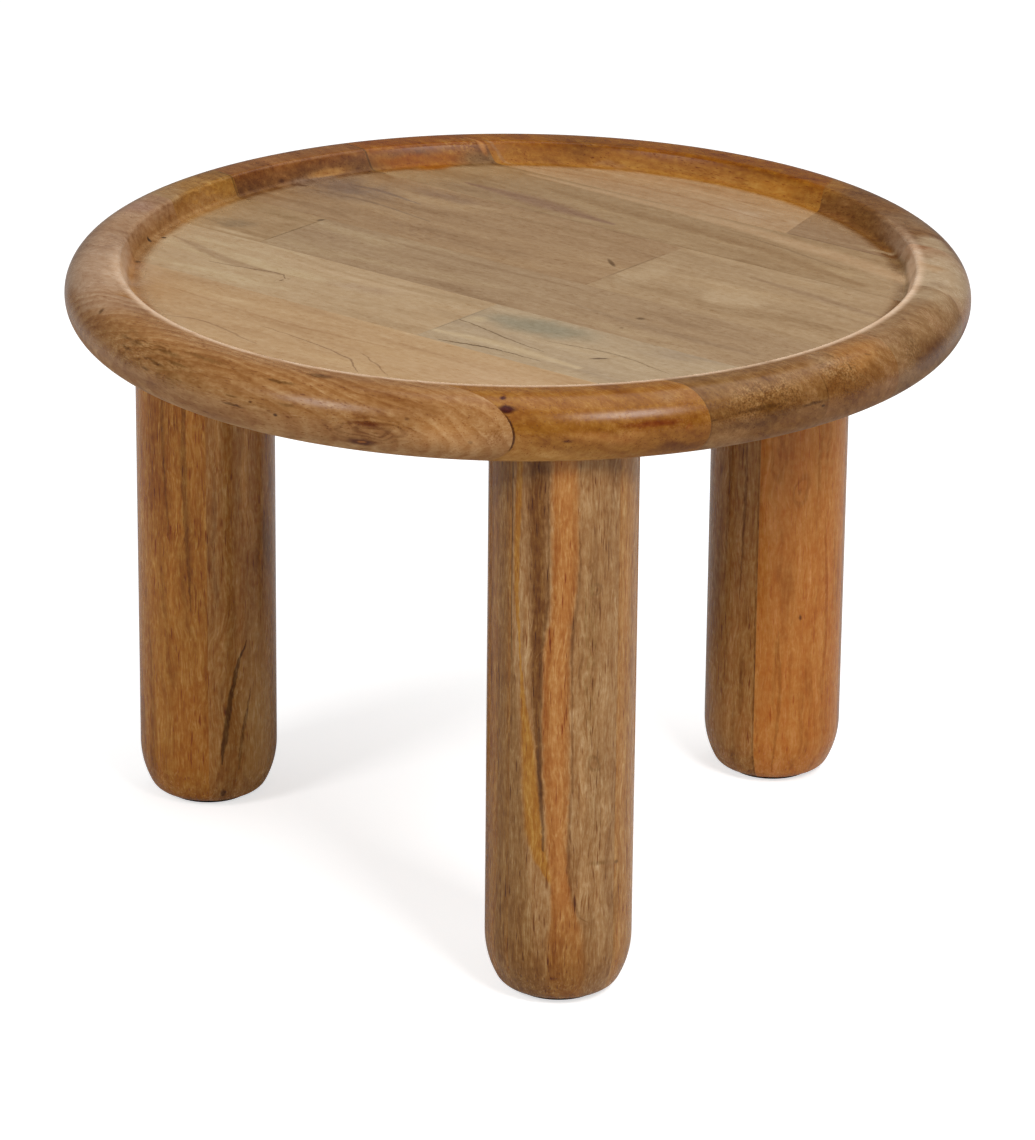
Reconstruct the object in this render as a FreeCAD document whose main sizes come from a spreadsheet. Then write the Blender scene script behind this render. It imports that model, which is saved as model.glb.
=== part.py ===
import FreeCAD, Part
import enum
import math
import os

import Sketcher

# Round tray-top low table on three turned legs, in millimetres, +Z up.
# The origin is the middle of the table on the floor, and the front leg stands on -Y.
# The top is a blank glued from staves, turned as one disc. Each leg is a blank glued
# from four square staves, turned round, and screws into the top on one hanger bolt.

SIZES = {
    # The turned top: half-round outside, a crest that falls a little to a rounded lip,
    # a wall that leans out, and a small cove where it meets the tray floor.
    "top_diameter": 600.0,
    "top_thickness": 44.5,
    "rim_width": 45.5,
    "recess_depth": 14.5,
    "crest_radius": 180.0,
    "lip_radius": 4.0,
    "wall_angle": 24.0,
    "cove_radius": 4.0,
    # The staves of the top, counted in rows from the back. The widths of the rows are
    # shares of the top's diameter, and the last row is what is left of it. So are the
    # places of the butt joints, along the grain from the middle of the top. The first
    # row's butt joint isn't cut square, and leans by an angle.
    "grain_angle": -46.1,
    "first_row_share": 0.1833,
    "second_row_share": 0.1183,
    "third_row_share": 0.1775,
    "fourth_row_share": 0.1158,
    "fifth_row_share": 0.1383,
    "sixth_row_share": 0.16,
    "first_butt_share": 0.1342,
    "third_butt_share": 0.0792,
    "fourth_butt_share": -0.295,
    "fifth_butt_share": 0.0475,
    "first_butt_angle": 13.5,
    # The turned leg: a straight cylinder whose foot draws in along a long curve and
    # then a short one to a flat. The top's edge stands out past the legs.
    "leg_diameter": 95.3,
    "leg_length": 375.0,
    "top_overhang": 21.5,
    "foot_draw_in": 17.0,
    "foot_rise": 35.3,
    "foot_toe_radius": 11.0,
    # How far the glue lines of each leg are turned from the table's own axes.
    "front_blank_angle": 39.4,
    "right_blank_angle": -25.4,
    "left_blank_angle": -4.4,
    # What the lathe and the router take off a blank.
    "turning_allowance": 6.0,
    # Pads, and the hanger bolt and threaded insert of each leg.
    "pad_margin": 1.6,
    "pad_thickness": 3.0,
    "bolt_diameter": 10.0,
    "bolt_in_leg": 60.0,
    "bolt_in_top": 14.0,
    "bolt_tip": 8.0,
    "bolt_chamfer": 1.0,
    "insert_diameter": 16.0,
    "insert_length": 16.0,
    "insert_chamfer": 0.8,
    "fit_clearance": 0.1,
    "hole_relief": 1.0,
}

# Sizes worked out from the driving ones, in the sheet itself.
WORKED_OUT = {
    "leg_ring_radius": "=top_diameter / 2 - top_overhang - leg_diameter / 2",
    "foot_flat_radius": "=leg_diameter / 2 - foot_draw_in",
    "pad_radius": "=foot_flat_radius - pad_margin",
}

LEG_NAMES = ("front", "right", "left")
FULL_TURN = 360.0
RIGHT_ANGLE = 90.0
FRONT_AZIMUTH = -RIGHT_ANGLE
TURN_BETWEEN_LEGS = FULL_TURN / len(LEG_NAMES)
STAVES_IN_LEG = 4

UP = FreeCAD.Vector(0, 0, 1)
SKETCH_UPRIGHT = FreeCAD.Vector(0, 1, 0)


class Spot(enum.IntEnum):
    """The numbers by which a constraint names a point of a curve."""

    START = 1
    END = 2
    CENTRE = 3


class Axis(enum.IntEnum):
    """The numbers by which a constraint names a sketch's own axes."""

    ACROSS = -1
    UPRIGHT = -2


START, END, CENTRE = Spot.START, Spot.END, Spot.CENTRE
ORIGIN = (Axis.ACROSS, Spot.START)


def make_sheet(doc):
    """Write the sizes to a sheet, one to a row, each under its own alias."""
    sheet = doc.addObject("Spreadsheet::Sheet", "Sizes")
    for row, (alias, value) in enumerate({**SIZES, **WORKED_OUT}.items(), start=1):
        sheet.set("A%d" % row, alias.replace("_", " "))
        sheet.setAlias("B%d" % row, alias)
        sheet.set("B%d" % row, str(value))
    doc.recompute()
    return sheet


def size(name):
    """Read one size from the sheet, for the places where a sketch is first drawn."""
    return float(FreeCAD.ActiveDocument.Sizes.get(name))


def bind(target, **expressions):
    """Bind properties to the sheet. Two underscores in a name stand for a dot."""
    for name, expression in expressions.items():
        target.setExpression(name.replace("__", "."), expression)


def origin_feature(body, role):
    """Find one of a body's own origin planes or axes."""
    return next(item for item in body.Origin.OriginFeatures if item.Role == role)


def new_body(doc, name):
    body = doc.addObject("PartDesign::Body", name)
    body.Label = name
    return body


def new_sketch(body, name, plane):
    sketch = body.newObject("Sketcher::SketchObject", name)
    sketch.AttachmentSupport = [(origin_feature(body, plane), "")]
    sketch.MapMode = "FlatFace"
    return sketch


def constrain(sketch, kind, *args):
    return sketch.addConstraint(Sketcher.Constraint(kind, *args))


def dimension(sketch, name, expression, kind, *args):
    """Add one dimension to a sketch and bind it to the sheet under its own name."""
    index = constrain(sketch, kind, *args)
    sketch.renameConstraint(index, name)
    sketch.setExpression("Constraints." + name, expression)


def point(x, y):
    return FreeCAD.Vector(x, y, 0)


def line(sketch, first, last):
    return sketch.addGeometry(Part.LineSegment(first, last), False)


def arc(sketch, centre, radius, first_angle, last_angle):
    """Draw an arc anticlockwise between two angles in degrees."""
    circle = Part.Circle(centre, UP, radius)
    angles = (math.radians(first_angle), math.radians(last_angle))
    return sketch.addGeometry(Part.ArcOfCircle(circle, *angles), False)


def revolve(body, sketch, name):
    """Turn a profile about the sketch's vertical axis."""
    feature = body.newObject("PartDesign::Revolution", name)
    feature.Profile = sketch
    feature.ReferenceAxis = (sketch, ["V_Axis"])
    feature.Angle = FULL_TURN
    sketch.Visibility = False
    return feature


def three_times(body, feature, name):
    """Repeat a feature at the three legs."""
    pattern = body.newObject("PartDesign::PolarPattern", name)
    pattern.Originals = [feature]
    pattern.Axis = (origin_feature(body, "Z_Axis"), [""])
    pattern.Angle = FULL_TURN
    pattern.Occurrences = len(LEG_NAMES)
    body.Tip = pattern
    return pattern


def draw_top_profile(body):
    """Draw half the section of the top, from the underside round to the tray floor.

    The bullnose, the crest, the lip, the wall and the cove run into each other
    tangent, so the lip's centre is worked out from the wall and the crest. The section
    stands along the grain, where no glue line crosses the turned top's own seam.
    """
    radius = size("top_diameter") / 2
    thickness = size("top_thickness")
    nose = thickness / 2
    crest = size("crest_radius")
    lip = size("lip_radius")
    cove = size("cove_radius")
    lean = math.radians(size("wall_angle"))
    floor = thickness - size("recess_depth")

    nose_centre = point(radius - nose, nose)
    crest_centre = point(radius - nose, thickness - crest)
    cove_centre = point(radius - size("rim_width"), floor + cove)
    up_wall = point(math.sin(lean), math.cos(lean))
    into_rim = point(math.cos(lean), -math.sin(lean))
    wall_foot = cove_centre + into_rim * cove
    start = wall_foot + into_rim * lip - crest_centre
    along = start.dot(up_wall)
    climb = -along + math.sqrt(along ** 2 - start.dot(start) + (crest - lip) ** 2)
    lip_centre = wall_foot + into_rim * lip + up_wall * climb
    wall_head = wall_foot + up_wall * climb
    to_lip = lip_centre - crest_centre
    crest_end = math.degrees(math.atan2(to_lip.y, to_lip.x))
    lip_end = 2 * RIGHT_ANGLE - size("wall_angle")

    sketch = new_sketch(body, "top_profile", "XZ_Plane")
    turned = FreeCAD.Rotation(SKETCH_UPRIGHT, size("grain_angle"))
    sketch.AttachmentOffset = FreeCAD.Placement(point(0, 0), turned)
    bind(sketch, AttachmentOffset__Rotation__Angle="Sizes.grain_angle")
    under = line(sketch, point(0, 0), point(radius - nose, 0))
    bullnose = arc(sketch, nose_centre, nose, -RIGHT_ANGLE, RIGHT_ANGLE)
    crown = arc(sketch, crest_centre, crest, RIGHT_ANGLE, crest_end)
    edge = arc(sketch, lip_centre, lip, crest_end, lip_end)
    wall = line(sketch, wall_head, wall_foot)
    hollow = arc(sketch, cove_centre, cove, -RIGHT_ANGLE, -size("wall_angle"))
    tray = line(sketch, point(cove_centre.x, floor), point(0, floor))
    axis = line(sketch, point(0, floor), point(0, 0))

    constrain(sketch, "Coincident", under, START, *ORIGIN)
    constrain(sketch, "Horizontal", under)
    constrain(sketch, "Tangent", under, END, bullnose, START)
    constrain(sketch, "Tangent", bullnose, END, crown, START)
    constrain(sketch, "Tangent", crown, END, edge, START)
    constrain(sketch, "Tangent", edge, END, wall, START)
    constrain(sketch, "Tangent", wall, END, hollow, END)
    constrain(sketch, "Tangent", hollow, START, tray, START)
    constrain(sketch, "Horizontal", tray)
    constrain(sketch, "Coincident", tray, END, axis, START)
    constrain(sketch, "Coincident", axis, END, *ORIGIN)
    constrain(sketch, "PointOnObject", axis, START, Axis.UPRIGHT)
    constrain(sketch, "Vertical", bullnose, CENTRE, crown, CENTRE)

    reach = "Sizes.top_diameter / 2 - Sizes.top_thickness / 2"
    tray_reach = "Sizes.top_diameter / 2 - Sizes.rim_width"
    depth = "Sizes.top_thickness - Sizes.recess_depth"
    dimension(sketch, "nose_reach", reach, "DistanceX", *ORIGIN, bullnose, CENTRE, nose_centre.x)
    dimension(sketch, "nose_radius", "Sizes.top_thickness / 2", "Radius", bullnose, nose)
    dimension(sketch, "crest_radius", "Sizes.crest_radius", "Radius", crown, crest)
    dimension(sketch, "lip_radius", "Sizes.lip_radius", "Radius", edge, lip)
    dimension(sketch, "cove_radius", "Sizes.cove_radius", "Radius", hollow, cove)
    dimension(sketch, "tray_reach", tray_reach, "DistanceX", *ORIGIN, hollow, CENTRE, cove_centre.x)
    dimension(sketch, "floor_height", depth, "DistanceY", *ORIGIN, axis, START, floor)
    dimension(sketch, "wall_angle", "Sizes.wall_angle", "Angle", Axis.UPRIGHT, START, wall, END, lean)
    return sketch


def make_turned_top(doc):
    """Turn the top's profile and bore the three blind holes for the inserts."""
    body = new_body(doc, "turned_top")
    disc = revolve(body, draw_top_profile(body), "top_turning")
    doc.recompute()

    sketch = new_sketch(body, "insert_hole_place", "XY_Plane")
    ring = size("leg_ring_radius")
    across = size("insert_diameter") + 2 * size("fit_clearance")
    hole = sketch.addGeometry(Part.Circle(point(0, -ring), UP, across / 2), False)
    constrain(sketch, "PointOnObject", hole, CENTRE, Axis.UPRIGHT)
    dimension(sketch, "ring", "Sizes.leg_ring_radius", "DistanceY", hole, CENTRE, *ORIGIN, ring)
    wide = "Sizes.insert_diameter + 2 * Sizes.fit_clearance"
    dimension(sketch, "across", wide, "Diameter", hole, across)

    pocket = body.newObject("PartDesign::Pocket", "insert_hole")
    pocket.Profile = sketch
    pocket.Reversed = True
    bind(pocket, Length="Sizes.insert_length + Sizes.hole_relief")
    doc.recompute()
    pattern = three_times(body, pocket, "insert_holes")
    doc.recompute()
    check_cut(disc.Shape, pattern.Shape, "insert holes")
    return body


def draw_leg_profile(body):
    """Draw half the section of a leg: the flat, the toe, the long curve, the side."""
    radius = size("leg_diameter") / 2
    flat = size("foot_flat_radius")
    rise = size("foot_rise")
    toe = size("foot_toe_radius")
    length = size("leg_length")
    draw_in = size("foot_draw_in")
    sweep = (draw_in ** 2 + rise ** 2 - 2 * rise * toe) / (2 * (draw_in - toe))
    toe_centre = point(flat, toe)
    sweep_centre = point(radius - sweep, rise)
    meet = toe_centre - sweep_centre
    meet_angle = math.degrees(math.atan2(meet.y, meet.x))

    sketch = new_sketch(body, "leg_profile", "XZ_Plane")
    foot = line(sketch, point(0, 0), point(flat, 0))
    toe_arc = arc(sketch, toe_centre, toe, -RIGHT_ANGLE, meet_angle)
    long_arc = arc(sketch, sweep_centre, sweep, meet_angle, 0)
    side = line(sketch, point(radius, rise), point(radius, length))
    head = line(sketch, point(radius, length), point(0, length))
    axis = line(sketch, point(0, length), point(0, 0))

    constrain(sketch, "Coincident", foot, START, *ORIGIN)
    constrain(sketch, "Horizontal", foot)
    constrain(sketch, "Tangent", foot, END, toe_arc, START)
    constrain(sketch, "Tangent", toe_arc, END, long_arc, START)
    constrain(sketch, "Tangent", long_arc, END, side, START)
    constrain(sketch, "Vertical", side)
    constrain(sketch, "Coincident", side, END, head, START)
    constrain(sketch, "Horizontal", head)
    constrain(sketch, "Coincident", head, END, axis, START)
    constrain(sketch, "Coincident", axis, END, *ORIGIN)
    constrain(sketch, "Vertical", axis)

    dimension(sketch, "flat", "Sizes.foot_flat_radius", "DistanceX", *ORIGIN, foot, END, flat)
    dimension(sketch, "toe", "Sizes.foot_toe_radius", "Radius", toe_arc, toe)
    dimension(sketch, "rise", "Sizes.foot_rise", "DistanceY", *ORIGIN, side, START, rise)
    dimension(sketch, "reach", "Sizes.leg_diameter / 2", "DistanceX", *ORIGIN, side, START, radius)
    dimension(sketch, "length", "Sizes.leg_length", "DistanceY", *ORIGIN, side, END, length)
    return sketch


def make_turned_leg(doc):
    """Turn the leg's profile and bore its head for the hanger bolt."""
    body = new_body(doc, "turned_leg")
    round_leg = revolve(body, draw_leg_profile(body), "leg_turning")
    doc.recompute()

    sketch = new_sketch(body, "bolt_hole_place", "XY_Plane")
    bind(sketch, AttachmentOffset__Base__z="Sizes.leg_length")
    across = size("bolt_diameter") + 2 * size("fit_clearance")
    hole = sketch.addGeometry(Part.Circle(point(0, 0), UP, across / 2), False)
    constrain(sketch, "Coincident", hole, CENTRE, *ORIGIN)
    wide = "Sizes.bolt_diameter + 2 * Sizes.fit_clearance"
    dimension(sketch, "across", wide, "Diameter", hole, across)

    pocket = body.newObject("PartDesign::Pocket", "bolt_hole")
    pocket.Profile = sketch
    bind(pocket, Length="Sizes.bolt_in_leg + Sizes.hole_relief")
    body.Tip = pocket
    doc.recompute()
    check_cut(round_leg.Shape, pocket.Shape, "bolt hole")
    return body


def make_staves(doc, turned_top):
    """Cut the turned top along its glue lines and butt joints into its staves."""
    seams = ["Sizes.top_diameter / 2 + Sizes.turning_allowance",
             "Sizes.top_diameter * (1 / 2 - Sizes.first_row_share)"]
    for row in ("second", "third", "fourth", "fifth", "sixth"):
        seams.append("%s - Sizes.top_diameter * Sizes.%s_row_share" % (seams[-1], row))
    seams.append("-(%s)" % seams[0])
    butts = {1: ("first", "Sizes.first_butt_angle"), 3: ("third", "0"),
             4: ("fourth", "0"), 5: ("fifth", "0")}
    staves = []
    for row in range(1, len(seams)):
        far, near = seams[row - 1], seams[row]
        name = "top_stave_%d" % row
        if row not in butts:
            plank = make_plank(doc, name, near, far)
            staves.append(cut_stave(doc, name, [plank, turned_top]))
            continue
        butt, lean = butts[row]
        along = "Sizes.top_diameter * Sizes.%s_butt_share" % butt
        for end in ("left", "right"):
            plank = make_plank(doc, "%s_%s" % (name, end), near, far)
            half = make_end_block(doc, plank.Name + "_half", along, near, lean, end)
            staves.append(cut_stave(doc, "%s_%s" % (name, end), [plank, half, turned_top]))
    return staves


def make_plank(doc, name, near, far):
    """Make the plank of one row, as long as the blank is wide."""
    reach = "(Sizes.top_diameter / 2 + Sizes.turning_allowance)"
    plank = doc.addObject("Part::Box", name + "_plank")
    bind(plank, Length="2 * " + reach, Width="(%s) - (%s)" % (far, near))
    place_block(plank, ("-" + reach, near), "Sizes.grain_angle", ("0", "0"))
    return plank


def make_end_block(doc, name, along, near, lean, end):
    """Make a block over the half of the blank to one side of a butt joint.

    The joint crosses the row's near glue line at the given place along the grain, and
    leans from square there.
    """
    block = doc.addObject("Part::Box", name)
    bind(block, Length="Sizes.top_diameter", Width="2 * Sizes.top_diameter")
    back = "-Sizes.top_diameter" if end == "left" else "0"
    place_block(block, (along, near), "(Sizes.grain_angle + %s)" % lean,
                (back, "-Sizes.top_diameter"), "Sizes.grain_angle")
    return block


def place_block(block, point_on_grain, turn, shift, grain="Sizes.grain_angle"):
    """Turn a block about a point given along and across the grain, and shift it.

    The shift is along the block's own turned sides. The block stands a little past the
    top's two faces.
    """
    along, across = point_on_grain
    block.Placement = FreeCAD.Placement(point(0, 0), FreeCAD.Rotation(UP, size("grain_angle")))
    x = "(%s) * cos(%s) - (%s) * sin(%s)"
    y = "(%s) * sin(%s) + (%s) * cos(%s)"
    bind(block,
         Height="Sizes.top_thickness + 2 * Sizes.turning_allowance",
         Placement__Rotation__Angle=turn,
         Placement__Base__x=(x + " + " + x) % (along, grain, across, grain,
                                               shift[0], turn, shift[1], turn),
         Placement__Base__y=(y + " + " + y) % (along, grain, across, grain,
                                               shift[0], turn, shift[1], turn),
         Placement__Base__z="-Sizes.turning_allowance")


def cut_stave(doc, name, shapes):
    """Keep what a stave's plank and the turned top have in common."""
    stave = doc.addObject("Part::MultiCommon", name)
    stave.Label = name
    stave.Shapes = shapes
    bind(stave, Placement__Base__z="Sizes.pad_thickness + Sizes.leg_length")
    return stave


def leg_place(index):
    """Give the expressions of a leg's place on the ring."""
    azimuth = FRONT_AZIMUTH + index * TURN_BETWEEN_LEGS
    return {"Placement__Base__x": "Sizes.leg_ring_radius * cos(%s)" % azimuth,
            "Placement__Base__y": "Sizes.leg_ring_radius * sin(%s)" % azimuth}


def make_leg_staves(doc, turned_leg, index):
    """Cut one turned leg into the four staves of its blank."""
    staves = []
    leg = LEG_NAMES[index]
    for number in range(STAVES_IN_LEG):
        name = "%s_leg_stave_%d" % (leg, number + 1)
        block = doc.addObject("Part::Box", name + "_block")
        block.Placement = FreeCAD.Placement(point(0, 0), FreeCAD.Rotation(UP, RIGHT_ANGLE))
        side = "Sizes.leg_diameter / 2 + Sizes.turning_allowance"
        quarter = number * FULL_TURN / STAVES_IN_LEG
        bind(block, Length=side, Width=side, Height="Sizes.leg_length",
             Placement__Rotation__Angle="Sizes.%s_blank_angle + %s" % (leg, quarter))
        stave = doc.addObject("Part::Common", name)
        stave.Label = name
        stave.Base = block
        stave.Tool = turned_leg
        bind(stave, Placement__Base__z="Sizes.pad_thickness", **leg_place(index))
        staves.append(stave)
    return staves


def make_pad(doc, index):
    """Make the pad stuck under one foot."""
    pad = doc.addObject("Part::Cylinder", LEG_NAMES[index] + "_foot_pad")
    pad.Label = pad.Name
    bind(pad, Radius="Sizes.pad_radius", Height="Sizes.pad_thickness", **leg_place(index))
    return pad


def draw_closed(sketch, corners):
    """Draw a closed outline of straight lines and join their ends."""
    count = len(corners)
    lines = [line(sketch, corners[i], corners[(i + 1) % count]) for i in range(count)]
    for i in range(count):
        constrain(sketch, "Coincident", lines[i], END, lines[(i + 1) % count], START)
    return lines


def on_leg_axis(body, name):
    """Start a sketch whose vertical axis is the front leg's, at the top's underside."""
    sketch = new_sketch(body, name, "YZ_Plane")
    bind(sketch, AttachmentOffset__Base__x="-Sizes.leg_ring_radius")
    bind(body, Placement__Base__z="Sizes.pad_thickness + Sizes.leg_length")
    return sketch


def make_hanger_bolts(doc):
    """Make the three hanger bolts: a tapered tip in the leg, a square end in the top."""
    body = new_body(doc, "hanger_bolts")
    sketch = on_leg_axis(body, "bolt_profile")
    radius = size("bolt_diameter") / 2
    low, high = -size("bolt_in_leg"), size("bolt_in_top")
    tip, chamfer = size("bolt_tip"), size("bolt_chamfer")
    taper, shank, bevel, top_end, axis = draw_closed(sketch, [
        point(0, low), point(radius, low + tip), point(radius, high - chamfer),
        point(radius - chamfer, high), point(0, high)])
    constrain(sketch, "PointOnObject", taper, START, Axis.UPRIGHT)
    constrain(sketch, "Vertical", shank)
    constrain(sketch, "Horizontal", top_end)
    constrain(sketch, "Vertical", axis)
    dimension(sketch, "in_leg", "Sizes.bolt_in_leg", "DistanceY", taper, START, *ORIGIN, -low)
    dimension(sketch, "tip", "Sizes.bolt_tip", "DistanceY", taper, START, taper, END, tip)
    dimension(sketch, "reach", "Sizes.bolt_diameter / 2", "DistanceX", *ORIGIN, taper, END, radius)
    dimension(sketch, "in_top", "Sizes.bolt_in_top", "DistanceY", *ORIGIN, bevel, END, high)
    dimension(sketch, "bevel_drop", "Sizes.bolt_chamfer", "DistanceY", bevel, START, bevel, END, chamfer)
    dimension(sketch, "bevel_in", "Sizes.bolt_chamfer", "DistanceX", bevel, END, bevel, START, chamfer)
    one = revolve(body, sketch, "bolt_turning")
    doc.recompute()
    three_times(body, one, "bolts")
    return body


def make_inserts(doc):
    """Make the three threaded inserts, flush with the underside of the top."""
    body = new_body(doc, "threaded_inserts")
    sketch = on_leg_axis(body, "insert_profile")
    inner = size("bolt_diameter") / 2 + size("fit_clearance")
    outer = size("insert_diameter") / 2
    high, chamfer = size("insert_length"), size("insert_chamfer")
    foot, side, bevel, top_end, bore = draw_closed(sketch, [
        point(inner, 0), point(outer, 0), point(outer, high - chamfer),
        point(outer - chamfer, high), point(inner, high)])
    constrain(sketch, "PointOnObject", foot, START, Axis.ACROSS)
    constrain(sketch, "Horizontal", foot)
    constrain(sketch, "Vertical", side)
    constrain(sketch, "Horizontal", top_end)
    constrain(sketch, "Vertical", bore)
    bore_reach = "Sizes.bolt_diameter / 2 + Sizes.fit_clearance"
    dimension(sketch, "inner", bore_reach, "DistanceX", *ORIGIN, foot, START, inner)
    dimension(sketch, "outer", "Sizes.insert_diameter / 2", "DistanceX", *ORIGIN, foot, END, outer)
    dimension(sketch, "height", "Sizes.insert_length", "DistanceY", *ORIGIN, bevel, END, high)
    drop = "Sizes.insert_chamfer"
    dimension(sketch, "bevel_drop", drop, "DistanceY", bevel, START, bevel, END, chamfer)
    dimension(sketch, "bevel_in", drop, "DistanceX", bevel, END, bevel, START, chamfer)
    one = revolve(body, sketch, "insert_turning")
    doc.recompute()
    three_times(body, one, "inserts")
    return body


def check_cut(before, after, name):
    """Stop if a cut took nothing away."""
    if after.Volume >= before.Volume:
        raise RuntimeError("the %s cut nothing" % name)


def check_document(doc):
    """Stop at any object that didn't compute, or a sketch that isn't fully fixed."""
    for item in doc.Objects:
        if "Invalid" in item.State or "Error" in item.State:
            raise RuntimeError("%s did not compute: %s" % (item.Label, item.State))
        if item.isDerivedFrom("Sketcher::SketchObject") and not item.FullyConstrained:
            raise RuntimeError("%s isn't fully constrained" % item.Label)


def write_parts(parts):
    """Check each sub-part's shape, then write them all, one file to a node."""
    for part in parts:
        if part.Shape.isNull() or not part.Shape.isValid() or not part.Shape.Solids:
            raise RuntimeError("%s has no sound shape" % part.Label)
    os.makedirs("parts", exist_ok=True)
    for part in parts:
        part.Shape.exportStep("parts/%s.step" % part.Label)
        print("%-20s %d solid(s) %12.1f mm3" % (part.Label, len(part.Shape.Solids),
                                              part.Shape.Volume))


def main():
    doc = FreeCAD.newDocument("low_table")
    make_sheet(doc)
    turned_top = make_turned_top(doc)
    turned_leg = make_turned_leg(doc)
    parts = make_staves(doc, turned_top)
    for index in range(len(LEG_NAMES)):
        parts += make_leg_staves(doc, turned_leg, index)
        parts.append(make_pad(doc, index))
    parts += [make_hanger_bolts(doc), make_inserts(doc)]
    doc.recompute()
    check_document(doc)
    write_parts(parts)


main()
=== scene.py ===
"""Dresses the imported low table: turned staves of mango wood, felt pads, steel fixings."""

import logging
import math
from dataclasses import dataclass
from enum import Enum

import bmesh
import bpy
from mathutils import Matrix, Vector


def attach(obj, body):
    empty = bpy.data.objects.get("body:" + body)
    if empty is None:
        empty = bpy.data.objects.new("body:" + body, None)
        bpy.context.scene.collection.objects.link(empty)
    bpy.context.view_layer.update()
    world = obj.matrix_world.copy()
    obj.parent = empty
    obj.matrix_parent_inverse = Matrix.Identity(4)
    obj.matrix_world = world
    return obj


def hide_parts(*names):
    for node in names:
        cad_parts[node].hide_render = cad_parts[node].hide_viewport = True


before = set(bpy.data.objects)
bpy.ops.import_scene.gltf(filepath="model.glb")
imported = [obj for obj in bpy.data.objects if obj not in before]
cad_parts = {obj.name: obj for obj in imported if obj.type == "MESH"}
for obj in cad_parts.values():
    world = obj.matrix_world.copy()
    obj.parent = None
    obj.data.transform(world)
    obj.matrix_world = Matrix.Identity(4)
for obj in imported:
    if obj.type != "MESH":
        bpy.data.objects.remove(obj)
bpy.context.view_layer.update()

LOG = logging.getLogger("low_table")
MM = 0.001
UP = Vector((0.0, 0.0, 1.0))
FULL_TURN = 2.0 * math.pi
QUARTER_TURN = math.pi / 2.0
ROOT = "root"
AIM = Vector((0.0, 0.0, 0.3))
BLACK = (0.0, 0.0, 0.0, 1.0)
WHITE = (1.0, 1.0, 1.0, 1.0)
# Points closer than SAME_POINT are one, and an edge shorter than NO_EDGE is none. A cut
# takes points within ON_CUT as lying on it.
SAME_POINT = 0.001 * MM
NO_EDGE = 0.0001 * MM
ON_CUT = 0.02 * MM
DRILL_SIDES = 48
# The ring that the legs stand on, where each stands, and how far its square blank was
# turned about its own axis. The first in millimetres, the others in degrees.
LEG_RING = 230.85
LEG_AZIMUTHS = {"front": -90.0, "right": 30.0, "left": 150.0}
BLANK_ANGLES = {"front": 39.4, "right": -25.4, "left": -4.4}


def leg_place(azimuth: float) -> Vector:
    """Give the middle of the leg at an azimuth in degrees, on the floor, in metres."""
    return Matrix.Rotation(math.radians(azimuth), 3, "Z") @ Vector((LEG_RING, 0.0, 0.0)) * MM


def direction(azimuth: float, elevation: float) -> Vector:
    """Give the unit vector that points along an azimuth and an elevation in degrees."""
    azimuth, elevation = math.radians(azimuth), math.radians(elevation)
    return Vector((math.cos(azimuth) * math.cos(elevation),
                   math.sin(azimuth) * math.cos(elevation), math.sin(elevation)))


def rgb(code: str) -> tuple[float, float, float, float]:
    """Turn a colour written as on screen into the linear colour that shaders take.

    Args:
        code: Six hexadecimal digits, red first.

    Returns:
        The colour as linear red, green, blue and a full alpha.
    """
    screen = [int(code[i:i + 2], 16) / 255.0 for i in (0, 2, 4)]
    linear = [c / 12.92 if c <= 0.04045 else ((c + 0.055) / 1.055) ** 2.4 for c in screen]
    return (*linear, 1.0)


class Signal:
    """A shader socket with arithmetic, so that shader maths reads as plain expressions."""

    def __init__(self, shader: "Shader", socket: bpy.types.NodeSocket) -> None:
        """Wrap one output socket of a shader."""
        self.shader = shader
        self.socket = socket

    def __add__(self, other: "Signal | float") -> "Signal":
        """Add a value."""
        return self.shader.maths("ADD", self, other)

    def __sub__(self, other: "Signal | float") -> "Signal":
        """Take a value away."""
        return self.shader.maths("SUBTRACT", self, other)

    def __rsub__(self, other: float) -> "Signal":
        """Take this away from a number."""
        return self.shader.maths("SUBTRACT", other, self)

    def __mul__(self, other: "Signal | float") -> "Signal":
        """Multiply by a value."""
        return self.shader.maths("MULTIPLY", self, other)

    def __truediv__(self, other: "Signal | float") -> "Signal":
        """Divide by a value."""
        return self.shader.maths("DIVIDE", self, other)

    def __abs__(self) -> "Signal":
        """Drop the sign."""
        return self.shader.maths("ABSOLUTE", self)

    __radd__ = __add__
    __rmul__ = __mul__


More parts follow.
